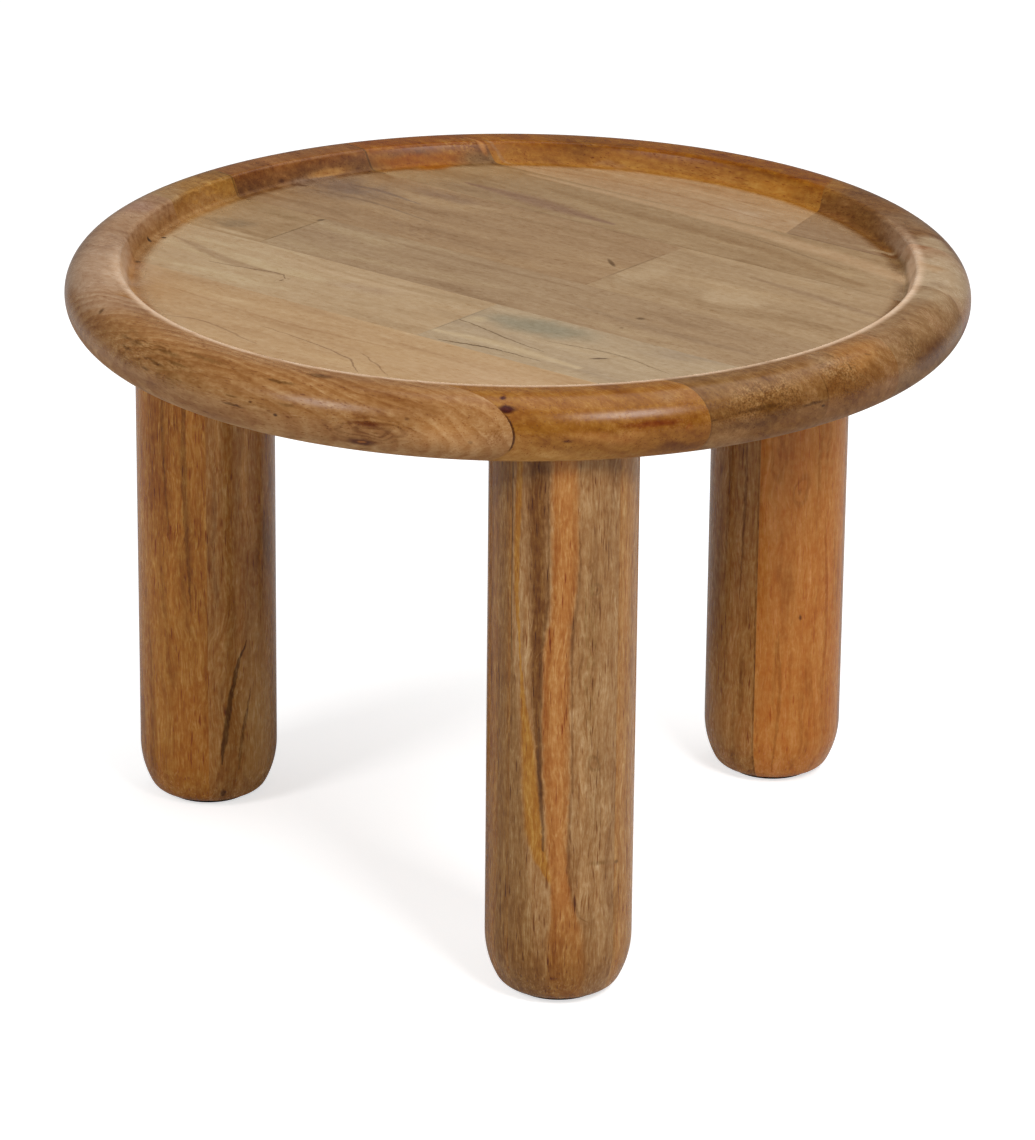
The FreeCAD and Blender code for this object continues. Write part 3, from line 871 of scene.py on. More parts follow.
@dataclass
class TurnedTop:
    """The top: one disc turned from a blank of glued staves, with a shallow tray.

    Lengths are in millimetres and angles in degrees. A glue line is given by its distance
    across the grain, and a butt joint by its row, its place along the grain and its lean.
    """

    staves: tuple[Stave, ...]
    diameter: float = 600.0
    thickness: float = 44.5
    underside: float = 378.0
    rim_width: float = 45.5
    recess: float = 14.5
    crest_radius: float = 180.0
    lip_radius: float = 4.0
    wall_angle: float = 24.0
    cove_radius: float = 4.0
    grain_angle: float = -46.1
    glue_lines: tuple[float, ...] = (190.02, 119.04, 12.54, -56.94, -139.92, -235.92)
    butt_joints: tuple[tuple[int, float, float], ...] = (
        (1, 80.52, 13.5), (3, 47.52, 0.0), (4, -177.0, 0.0), (5, 28.5, 0.0))
    insert_bore: float = 16.2
    insert_depth: float = 17.0
    faces_round: int = 360

    FLAT_STEPS = 12
    NOSE_STEPS = 40
    CREST_STEPS = 8
    LIP_STEPS = 9
    COVE_STEPS = 6

    def section(self) -> list[tuple[float, float]]:
        """Draw half the section, from the underside round to the tray floor.

        Returns:
            Points out from the axis and up, in millimetres.
        """
        nose = self.thickness / 2.0
        nose_at = (self.diameter / 2.0 - nose, self.underside + nose)
        head = self.underside + self.thickness
        crest_at = (nose_at[0], head - self.crest_radius)
        tray = head - self.recess
        cove_at = (self.diameter / 2.0 - self.rim_width, tray + self.cove_radius)
        lean = math.radians(self.wall_angle)
        up_wall = Vector((math.sin(lean), math.cos(lean)))
        into_rim = Vector((math.cos(lean), -math.sin(lean)))
        start = Vector(cove_at) + into_rim * (self.cove_radius + self.lip_radius)
        gap = start - Vector(crest_at)
        along = gap.dot(up_wall)
        reach = self.crest_radius - self.lip_radius
        climb = -along + math.sqrt(along ** 2 - gap.dot(gap) + reach ** 2)
        lip_at = start + up_wall * climb
        to_lip = lip_at - Vector(crest_at)
        crest_end = math.degrees(math.atan2(to_lip.y, to_lip.x))
        steps = self.FLAT_STEPS
        under = [(nose_at[0] * i / steps, self.underside) for i in range(steps)]
        floor = [(cove_at[0] * (steps - i) / steps, tray) for i in range(1, steps + 1)]
        return (under
                + arc(nose_at, nose, -90.0, 90.0, self.NOSE_STEPS)
                + arc(crest_at, self.crest_radius, 90.0, crest_end, self.CREST_STEPS)[1:]
                + arc(tuple(lip_at), self.lip_radius, crest_end, 180.0 - self.wall_angle,
                      self.LIP_STEPS)[1:]
                + arc(cove_at, self.cove_radius, -self.wall_angle, -90.0, self.COVE_STEPS)
                + floor)

    def grain(self) -> Matrix:
        """Give the rows along the grain, across it and up."""
        return Matrix.Rotation(-math.radians(self.grain_angle), 3, "Z")

    def build(self) -> None:
        """Turn the blank, bore it for the inserts and saw it into its staves."""
        blank = turn_solid(self.section(), self.faces_round)
        mouths = [leg_place(azimuth) + UP * (self.underside * MM)
                  for azimuth in LEG_AZIMUTHS.values()]
        blank = bored(blank, mouths, self.insert_bore / 2.0 * MM, self.insert_depth * MM)
        grain = self.grain()
        for stave in self.staves:
            mesh = blank.copy()
            self.saw_stave(mesh, stave)
            look = WoodShader("mango_stave_" + stave.label, stave.wood, grain, Vector())
            stand_in("stave_" + stave.label, mesh, "top_stave_" + stave.label,
                     look.build())
        blank.free()

    def saw_stave(self, mesh: bmesh.types.BMesh, stave: Stave) -> None:
        """Saw one stave out of the blank.

        Args:
            mesh: A copy of the blank, changed in place.
            stave: The stave to keep.
        """
        along, across, _ = self.grain()
        if stave.row > 1:
            saw(mesh, across * self.glue_lines[stave.row - 2] * MM, across)
        if stave.row <= len(self.glue_lines):
            saw(mesh, across * self.glue_lines[stave.row - 1] * MM, -across)
        for row, place, lean in self.butt_joints:
            if row != stave.row:
                continue
            point = (along * place + across * self.glue_lines[row - 1]) * MM
            square = Matrix.Rotation(math.radians(lean), 3, "Z") @ along
            saw(mesh, point, square if stave.end == "left" else -square)


@dataclass
class TurnedLeg:
    """A leg turned from a blank of four square staves, with a rounded foot.

    Lengths are in millimetres. The foot is drawn in at the floor, over the height that its
    rounding rises, and has a small round at its toe.
    """

    name: str
    woods: tuple[Wood, ...]
    diameter: float = 95.3
    length: float = 375.0
    lift: float = 3.0
    draw_in: float = 17.0
    rise: float = 35.3
    toe_radius: float = 11.0
    bore: float = 10.2
    bore_depth: float = 61.0
    faces_round: int = 144

    TOE_STEPS = 12
    SWEEP_STEPS = 20
    SIDE_STEPS = 10

    def section(self) -> list[tuple[float, float]]:
        """Draw half the section, from the flat of the foot up to the bore.

        Returns:
            Points out from the axis and up, in millimetres.
        """
        radius = self.diameter / 2.0
        flat = radius - self.draw_in
        sweep = ((self.draw_in ** 2 + self.rise ** 2 - 2.0 * self.rise * self.toe_radius)
                 / (2.0 * (self.draw_in - self.toe_radius)))
        toe_at = (flat, self.lift + self.toe_radius)
        sweep_at = (radius - sweep, self.lift + self.rise)
        meet = math.degrees(math.atan2(toe_at[1] - sweep_at[1], toe_at[0] - sweep_at[0]))
        head = self.lift + self.length
        straight = [(radius, sweep_at[1] + (head - sweep_at[1]) * i / self.SIDE_STEPS)
                    for i in range(1, self.SIDE_STEPS + 1)]
        hole = self.bore / 2.0
        return ([(0.0, self.lift)]
                + arc(toe_at, self.toe_radius, -90.0, meet, self.TOE_STEPS)
                + arc(sweep_at, sweep, meet, 0.0, self.SWEEP_STEPS)[1:]
                + straight
                + [(hole, head), (hole, head - self.bore_depth), (0.0, head - self.bore_depth)])

    def build(self) -> None:
        """Turn the leg and saw it into its four staves."""
        blank = turn_solid(self.section(), self.faces_round)
        middle = leg_place(LEG_AZIMUTHS[self.name])
        bmesh.ops.translate(blank, verts=blank.verts, vec=middle)
        up_first = Matrix(((0, 0, 1), (1, 0, 0), (0, 1, 0)))
        for index, wood in enumerate(self.woods):
            turn = math.radians(BLANK_ANGLES[self.name]) + index * QUARTER_TURN
            first, second = (Vector((math.cos(a), math.sin(a), 0.0))
                             for a in (turn, turn + QUARTER_TURN))
            mesh = blank.copy()
            saw(mesh, middle, -first)
            saw(mesh, middle, -second)
            facing = Matrix.Rotation(-(turn + QUARTER_TURN / 2.0), 3, "Z")
            label = "%s_leg_stave_%d" % (self.name, index + 1)
            look = WoodShader("mango_" + label, wood, up_first @ facing, middle,
                              self.diameter / 2.0)
            stand_in("%s_quarter_%d" % (self.name, index + 1), mesh, label,
                     look.build())
        blank.free()


@dataclass
class FootPads:
    """The felt pads under the feet, with lengths in millimetres."""

    radius: float = 29.05
    thickness: float = 3.0
    eased_edge: float = 0.8
    edge_steps: int = 3
    sides: int = 96
    crisp_over: float = 50.0

    def build(self) -> None:
        """Make each pad as a disc with eased edges."""
        material = Felt().material()
        for name, azimuth in LEG_AZIMUTHS.items():
            place = Matrix.Translation(leg_place(azimuth) + UP * (self.thickness / 2.0 * MM))
            mesh = bmesh.new()
            bmesh.ops.create_cone(mesh, cap_ends=True, segments=self.sides,
                                  radius1=self.radius * MM, radius2=self.radius * MM,
                                  depth=self.thickness * MM, matrix=place)
            rims = [edge for edge in mesh.edges
                    if abs(edge.verts[0].co.z - edge.verts[1].co.z) < SAME_POINT]
            bmesh.ops.bevel(mesh, geom=rims, offset=self.eased_edge * MM,
                            segments=self.edge_steps, profile=0.5, affect="EDGES", material=-1)
            stand_in(name + "_pad", mesh, name + "_foot_pad", material,
                     self.crisp_over)


@dataclass
class Fixings:
    """The hanger bolts and their inserts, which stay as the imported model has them."""

    bolts: Plate = Plate("bright_zinc", "c9cbc8", "8f9290")
    inserts: Plate = Plate("yellow_zinc", "cdb98a", "94794a")

    def build(self) -> None:
        """Plate the bolts and the inserts."""
        for node, plate in (("hanger_bolts", self.bolts), ("threaded_inserts", self.inserts)):
            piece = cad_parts[node]
            piece.data.materials.clear()
            piece.data.materials.append(plate.material())
            LOG.info("%s keeps its packed shape", node)


@dataclass(frozen=True)
class Softbox:
    """A soft lamp: its direction from the table in degrees and its sizes in metres."""

    name: str
    azimuth: float
    elevation: float
    distance: float
    width: float
    height: float
    radiance: float

    def hang(self) -> None:
        """Hang the lamp, turned to the table."""
        lamp = bpy.data.lights.new(self.name, "AREA")
        lamp.shape = "RECTANGLE"
        lamp.size, lamp.size_y = self.width, self.height
        lamp.energy = self.radiance * math.pi * self.width * self.height
        away = direction(self.azimuth, self.elevation)
        holder = bpy.data.objects.new(self.name, lamp)
        bpy.context.scene.collection.objects.link(holder)
        facing = (-away).to_track_quat("-Z", "Y").to_matrix().to_4x4()
        holder.matrix_world = Matrix.Translation(AIM + away * self.distance) @ facing


@dataclass
class Studio:
    """A plain pale floor, soft light and a camera where the photograph was taken from.

    Places are in metres, angles in degrees, and the lens and its sensor in millimetres.
    """

    camera_at: tuple[float, float, float] = (-0.4684, -3.5442, 1.5617)
    heading: float = -7.555
    elevation: float = 20.868
    roll: float = 0.5867
    lens: float = 178.75
    sensor_width: float = 36.0
    floor_half: float = 12.0
    floor_grey: tuple[float, float, float, float] = (0.76, 0.76, 0.76, 1.0)
    floor_roughness: float = 0.9
    floor_glow: float = 0.66
    sky_level: float = 0.22
    softboxes: tuple[Softbox, ...] = (
        Softbox("softbox_right", -67.5, 40.0, 3.0, 0.85, 0.8, 22.0),
        Softbox("softbox_left", -148.0, 33.0, 3.0, 0.75, 0.8, 13.8),
        Softbox("overhead", 10.0, 73.0, 3.2, 3.0, 3.0, 1.85))

    def build(self) -> None:
        """Set up the stage."""
        self.make_floor()
        self.make_sky()
        for softbox in self.softboxes:
            softbox.hang()
        self.make_camera()

    def make_floor(self) -> None:
        """Lay the floor."""
        mesh = bmesh.new()
        bmesh.ops.create_grid(mesh, x_segments=1, y_segments=1, size=self.floor_half)
        data = bpy.data.meshes.new("floor")
        mesh.to_mesh(data)
        mesh.free()
        data.materials.append(self.floor_material())
        floor = bpy.data.objects.new("floor", data)
        bpy.context.scene.collection.objects.link(floor)

    def floor_material(self) -> bpy.types.Material:
        """Give the floor a pale finish that looks white where no shadow falls.

        Returns:
            The finished material.
        """
        s = Shader("pale_floor")
        seen = s.node("LightPath", output="Is Camera Ray")
        return s.finish(Base_Color=self.floor_grey, Roughness=self.floor_roughness,
                        Emission_Color=s.mix(seen, BLACK, WHITE),
                        Emission_Strength=self.floor_glow)

    def make_sky(self) -> None:
        """Light everything softly from a sky that the camera sees as white."""
        world = bpy.data.worlds.new("studio")
        bpy.context.scene.world = world
        world.use_nodes = True
        s = Shader.over(world.node_tree)
        seen = s.node("LightPath", output="Is Camera Ray")
        strength = s.maths("MAXIMUM", seen, self.sky_level)
        background = s.node("Background", Color=WHITE, Strength=strength)
        s.node("OutputWorld", output=None, Surface=background)

    def make_camera(self) -> None:
        """Set up the camera."""
        forward = direction(self.heading + 90.0, -self.elevation)
        level = direction(self.heading, 0.0)
        upright = level.cross(forward)
        turn = math.radians(self.roll)
        right = level * math.cos(turn) + upright * math.sin(turn)
        up = upright * math.cos(turn) - level * math.sin(turn)
        data = bpy.data.cameras.new("camera")
        data.lens = self.lens
        data.sensor_width = self.sensor_width
        data.sensor_fit = "AUTO"
        camera = bpy.data.objects.new("camera", data)
        bpy.context.scene.collection.objects.link(camera)
        frame_of = Matrix((right, up, -forward)).transposed().to_4x4()
        camera.matrix_world = Matrix.Translation(self.camera_at) @ frame_of
        bpy.context.scene.camera = camera


STILL, FINE = Wander.STILL, Wander.FINE


def board(number: int) -> tuple[float, float, float]:
    """Give each stave of the top its own stretch of the wood's figure."""
    return (311.0 * number, 57.0 * number, 23.0 * number)


def quarter(number: int, tone: Tone, marks: tuple[Spot | Streak, ...] = (),
            **changes: float) -> Wood:
    """Finish one quarter of a leg, whose figure is coarser than that of the top.

    Args:
        number: Counts the quarters of all legs. Each has its own stretch of the figure.
        tone: Its tones.
        marks: Its knots, patches and streaks, and patches of painted shade.
        **changes: What differs from the other quarters.

    Returns:
        The finish.
    """
    coarse = {"figure": 0.08, "fibre": 0.68, "bands": (120.0, 9.0), "pores": 0.65,
              "ticks": (15.0, 1.1), "mottle": 0.6}
    origin = (150.0 + 100.0 * number, 90.0 + 70.0 * number, 15.0 + 20.0 * (number % 5))
    return Wood(tone, on_top=False, origin=origin, marks=marks, **(coarse | changes))


def back_rows() -> tuple[Stave, ...]:
    """Finish the staves of the three rows at the back, left to right and back to front.

    Returns:
        The staves of rows 1 to 3.
    """
    return (
        Stave(1, "left", Wood(
            rim=Tone("985c17", "874d05", "713c06"), wall=Tone("a9712e", "97621f", "845016"),
            tray=Tone("b4946d", "aa8761", "9c7751"), origin=board(1), marks=(
                Spot((-30, 232, 408), (130, 12, 3), "b28c66", 0.5, 0.9),
                Spot((50, 207, 408), (50, 16, 4), "bda181", 0.6, 0.9),
                Spot((-100, 246, 421), (16, 9, 9), "6b3a08", 0.7, 0.7, turn=35),
                Spot((-66, 262, 418), (26, 12, 9), "7a4206", 0.6, 0.8, turn=20),
                Spot((20, 258, 415), (34, 10, 9), "ae7426", 0.7, 0.8),
                Spot((-128, 230, 421), (34, 26, 12), "74440e", 0.9, 0.9),
                Streak(((-185, 192, 1), (-60, 212, 2.5), (60, 204, 1)), "98704a", 0.5),
                Streak(((-120, 222, 0.5), (-20, 228, 3), (70, 222, 0.5)), "b79670", 0.6)))),
        Stave(1, "right", Wood(
            rim=Tone("8a5d30", "764c20", "613b16"), wall=Tone("7f5020", "724718", "5f3a12"),
            tray=Tone("a28564", "927251", "826144"), origin=board(2), marks=(
                Spot((66, 262, 422), (26, 26, 12), "94601f", 0.7, 0.8),
                Spot((160, 232, 421), (40, 26, 12), "8a6a49", 0.7, 0.9),
                Spot((150, 197, 408), (26, 5, 8), "a78c69", 0.8, 0.8, turn=-3),
                Spot((198, 196, 420), (30, 15, 18), "a98e6d", 0.95, turn=-20),
                Streak(((82, 190.6, 1.2), (180, 190.6, 1.2)), "6d4f33", 0.55, 0.7,
                       wander=STILL)))),
        Stave(2, "", Wood(
            rim=Tone("9a6020", "864806", "6f3a02"), wall=Tone("83602f", "775530", "694826"),
            tray=Tone("a88a63", "9b7c57", "8c6c47"), origin=board(3), marks=(
                Spot((252, 150, 424), (110, 80, 30), "ae9372", 1, 0.7),
                Spot((252, 128, 420), (16, 10, 9), "86694a", 0.5, 0.9),
                Spot((216, 150, 414), (46, 12, 12), "7a5836", 0.6, 1, turn=-54),
                Spot((-208, 150, 411), (14, 46, 9), "92530a", 0.9, turn=-32),
                Streak(((-140, 184, 3), (0, 184, 8), (92, 176, 11), (165, 166, 13), (235, 152, 8)),
                       "b08e68", 0.85, 0.8),
                Streak(((-110, 166, 4), (-40, 160, 9), (30, 156, 9), (110, 147, 9), (190, 130, 5)),
                       "896741", 0.7, 0.9),
                Streak(((60, 166, 0.5), (110, 160, 1.6), (160, 150, 0.6)), "6f4f2f", 0.4),
                Streak(((-160, 140, 2), (-90, 136, 14), (-20, 130, 3)), "86644a", 0.9, 0.9),
                Spot((-146, 128, 408), (46, 14, 6), "86684a", 0.5, 0.9),
                Spot((-196, 176, 421), (18, 14, 10), "9c6a2c", turn=40, wander=FINE,
                     flecks=(8, 1.2)),
                Spot((-190, 187.5, 418), (22, 2.2, 9), "b0763a", 0.8, 0.7, wander=STILL),
                Spot((246, 116.5, 421), (14, 1.2, 6), "6d4b2a", 0.6, turn=15, wander=STILL),
                Spot((268, 120, 418), (10, 1.2, 8), "6a4826", 0.7, turn=-5, wander=STILL),
                Streak(((-260, 119.9, 0.9), (-215, 119.9, 0.9)), "4e3010", 0.75, wander=STILL),
                Streak(((-215, 119.6, 0.6), (250, 119.6, 0.6)), "6f5433", 0.35, 0.7,
                       wander=STILL)))),
        Stave(3, "left", Wood(
            rim=Tone("956030", "855223", "70421b"), wall=Tone("895c2f", "764c22", "653f1c"),
            tray=Tone("a68660", "9a7955", "8b6a47"), origin=board(4), marks=(
                Spot((-222, 76, 408), (66, 40, 6), "78604e", 0.9, 0.9),
                Streak(((-220, 84, 1), (-190, 86, 3), (-150, 80, 1)), "6f5645", 0.6),
                Streak(((-230, 58, 1), (-180, 62, 2), (-120, 54, 1)), "7c6046", 0.6),
                Spot((-242, 90, 410), (3.2, 26, 5), "a3743c", 0.85, 0.7, turn=-18, wander=FINE),
                Spot((-252, 52, 411), (12, 12, 7), "512a0c", 0.9, 0.5, wander=FINE, rings=1),
                Spot((-243, 60, 408), (9, 3, 4), "4b2a12", 0.7, 0.7, turn=20, wander=FINE),
                Spot((31, 61, 408), (12, 2.2, 9), "5f421f", 0.85, turn=-38, wander=STILL),
                Spot((-110, 30, 408), (60, 16, 9), "87674a", 0.55, 0.9, turn=-4, flecks=(7, 1.6)),
                Streak(((-120, 96, 1), (-40, 100, 6), (46, 96, 2)), "8d6c47", 0.55, 0.9),
                Spot((-146, 106, 408), (46, 14, 6), "7f6049", 0.6, 0.9),
                Spot((-259, 36, 418), (20, 24, 12), "6f421c", 0.5, 0.8),
                Spot((46.6, 62, 408), (1.1, 50, 9), "6f5537", 0.5, 0.7, wander=STILL)))),
        Stave(3, "right", Wood(
            rim=Tone("997450", "8a6741", "704a26"), wall=Tone("8d6436", "7a5328", "67421d"),
            tray=Tone("ae906a", "a38561", "947551"), origin=board(5), marks=(
                Spot((62, 60, 408), (18, 44, 9), "b09470", 0.7, 0.9),
                Spot((140, 52, 408), (26, 22, 9), "b39773", 0.7, 0.5, turn=8),
                Streak(((120, 96, 2), (180, 90, 7), (245, 82, 3)), "8c6d4e", 0.6, 0.9),
                Spot((286, 30, 417), (12, 24, 12), "65401a", 0.65, 0.9),
                Spot((292, 60, 403), (12, 42, 15), "623a10", 0.75, 0.9),
                Spot((258, 108, 422), (34, 34, 12), "a08462", 0.95, 0.9),
                Spot((244, 126, 422), (16, 14, 9), "86694a", 0.5, 0.9),
                Spot((290, 34, 410), (24, 16, 14), "4e2f12", 0.7, 0.8, flecks=(6, 1.4))))),
    )


def middle_rows() -> tuple[Stave, ...]:
    """Finish the staves of the two rows with a butt joint that cross the middle.

    Returns:
        The staves of rows 4 and 5.
    """
    return (
        Stave(4, "left", Wood(
            rim=Tone("a0753d", "8f6229", "744c1c"), wall=Tone("a67a49", "966a37", "805728"),
            tray=Tone("aa8b64", "a0805a", "92724c"), origin=board(6), marks=(
                Spot((-222, -34, 408), (27, 13, 6), "83694a", 0.8, 0.8, turn=8),
                Spot((-205, -2, 408), (30, 8, 6), "8f7049", 0.6, 0.8, turn=-6),
                Spot((-206, -51, 408), (34, 4, 6), "b79a74", 0.8, 0.8, wander=FINE),
                Spot((-260, -16, 418), (26, 34, 12), "a6783b", 0.9, wander=FINE, flecks=(1.5, 7)),
                Spot((-262, 6, 417), (14, 22, 9), "a2742f", 0.6, 0.7),
                Spot((-270, -52, 425), (34, 28, 9), "a5855f", 0.75, 0.8),
                Spot((-178, -24, 408), (0.9, 42, 6), "624a2a", 0.7, wander=FINE),
                Spot((-178.5, 8, 408), (2.6, 5, 6), "4d3619", 0.8, 0.7, turn=-30, wander=FINE),
                Streak(((-275, 11.4, 1.2), (-245, 11.4, 1.2)), "5a3a14", 0.6, wander=STILL)))),
        Stave(4, "right", Wood(
            rim=Tone("99714a", "875d31", "70471c"), wall=Tone("8f673b", "7e562b", "6a451f"),
            tray=Tone("a78b67", "9c7e5c", "8c6d4c"), origin=board(7), marks=(
                Spot((-150, -14, 408), (30, 14, 9), "866548", 0.7, 0.9, flecks=(6, 1.5)),
                Spot((118, -20, 408), (4.5, 3.5, 6), "5c401d", 0.8, 0.8, turn=20, wander=FINE),
                Spot((120, -43, 408), (6, 6, 6), "7d6140", wander=FINE, rings=1),
                Streak(((60, -24, 1), (130, -32, 8), (220, -30, 3)), "8e7152", 0.6, 0.9),
                Streak(((-120, 2, 1), (-40, 0, 5), (50, 4, 1)), "8d6d4b", 0.6, 0.9),
                Spot((284, -18, 418), (16, 30, 15), "9b6b38", 0.85, 0.5),
                Spot((276, -46, 421), (20, 18, 6), "a88a66", 0.4, 0.9),
                Spot((292, -36, 402), (14, 26, 12), "7a4b12", 0.7, 0.8),
                Spot((290, -10, 414), (1, 6, 8), "4f3212", 0.8, 0.7, turn=-20, wander=FINE),
                Spot((284, -36, 408), (30, 34, 22), "5d3c18", 0.7, 0.7, flecks=(2, 1.1)),
                Spot((284, -34, 414), (22, 30, 9), "ab8456", 0.5, 0.7, flecks=(1, 1.6)),
                Spot((291.5, -30.5, 415.6), (5, 0.9, 4.5), "5f3e1a", 0.8, 0.7, wander=STILL),
                Spot((278, -35, 422), (6, 1, 3), "5f3e1a", 0.7, 0.7, wander=STILL),
                Spot((290, -56.4, 408), (16, 0.9, 17), "5a3a16", 0.5, wander=STILL)))),
        Stave(5, "left", Wood(
            rim=Tone("b28e6e", "a07a58", "896344"), wall=Tone("a47b50", "94693c", "7d552c"),
            tray=Tone("baa07a", "b0926d", "a3845f"), origin=board(8), marks=(
                Streak(((-232, -84, 1), (-200, -92, 7), (-160, -102, 7), (-120, -101, 2)),
                       "9a7a58", 0.8, 0.8),
                Streak(((-176, -110, 0.4), (-137, -103, 0.8), (-119, -100, 0.8),
                        (-112, -106, 0.5)), "68492b", 0.75, 0.5),
                Spot((-112, -110, 408), (4, 8, 6), "6d4e30", 0.8, 0.5, wander=FINE, rings=1),
                Spot((-235, -104, 409), (3, 2.4, 6), "33200f", 0.9, 0.7, wander=STILL),
                Spot((-233.5, -91, 408), (3, 2.4, 6), "33200f", 0.9, 0.7, wander=STILL),
                Spot((-60, -90, 408), (46, 12, 9), "a5876a", 0.6, 0.9, turn=6),
                Spot((-262, -84, 420), (18, 22, 8), "9a7564", 0.6, 0.9),
                Streak(((-150, -72, 1), (-80, -76, 5), (10, -72, 1)), "bda07c", 0.6, 0.9),
                Spot((8, -68, 408), (62, 15, 9), "a68a66", 0.45, 0.9, turn=4)))),
        Stave(5, "right", Wood(
            rim=Tone("90683e", "80582d", "6b4417"), wall=Tone("8f683c", "7e572c", "6a451c"),
            tray=Tone("b49b78", "a88f6f", "988167"), origin=board(9), marks=(
                Spot((78, -76, 408), (62, 20, 9), "8b7f66", 0.95, 0.8, turn=4),
                Spot((36, -90, 408), (14, 10, 9), "bda681", 0.7, 0.8, turn=20),
                Streak(((28, -97, 0.6), (67, -105, 1), (112, -113, 0.4)), "6a5233", 0.8, 0.5),
                Streak(((44, -137, 0.5), (69, -132, 1.3), (88, -129, 0.9), (122, -129, 0.3)),
                       "5e4526", 0.85, 0.5),
                Streak(((29, -124, 4), (80, -120, 8), (150, -124, 4)), "bba27d", 0.8, 0.9),
                Spot((147, -101, 408), (8, 1.6, 6), "553b1e", 0.85, turn=40, wander=FINE),
                Streak(((100, -95, 0.5), (150, -88, 1.2), (200, -96, 0.4)), "80684b", 0.7),
                Spot((29.3, -98, 408), (0.9, 46, 6), "7d6547", 0.5, wander=STILL),
                Spot((276, -100, 408), (30, 60, 20), "5d3c16", 0.7, 0.7, flecks=(2.2, 1.1)),
                Spot((272, -88, 413), (26, 60, 8), "ab8352", 0.5, 0.7, flecks=(1, 1.6)),
                Spot((276, -96, 399), (30, 60, 5), "5f3a12", 0.6, 0.9),
                Spot((262, -120, 422), (36, 28, 5), "7c572c", 0.7, 0.9),
                Spot((284, -92, 388), (22, 60, 10), "7c4c0c", 0.6, 0.9),
                Spot((292, -69, 402), (14, 4, 1.6), "4f300f", 0.75, 0.8, turn=77, wander=FINE),
                Spot((279, -108, 406), (24, 5, 2.2), "54330f", 0.65, 0.8, turn=69, wander=FINE),
                Spot((265, -137, 403.4), (5, 3, 1.2), "4a2c0e", 0.8, 0.7, turn=62, wander=FINE),
                Spot((294, -61, 398.8), (2, 2.4, 1.3), "3f240a", 0.9, 0.7, wander=STILL),
                Streak(((200, -139.4, 0.6), (300, -139.4, 0.6)), "5a3a18", 0.4, 0.7,
                       wander=STILL)))),
    )


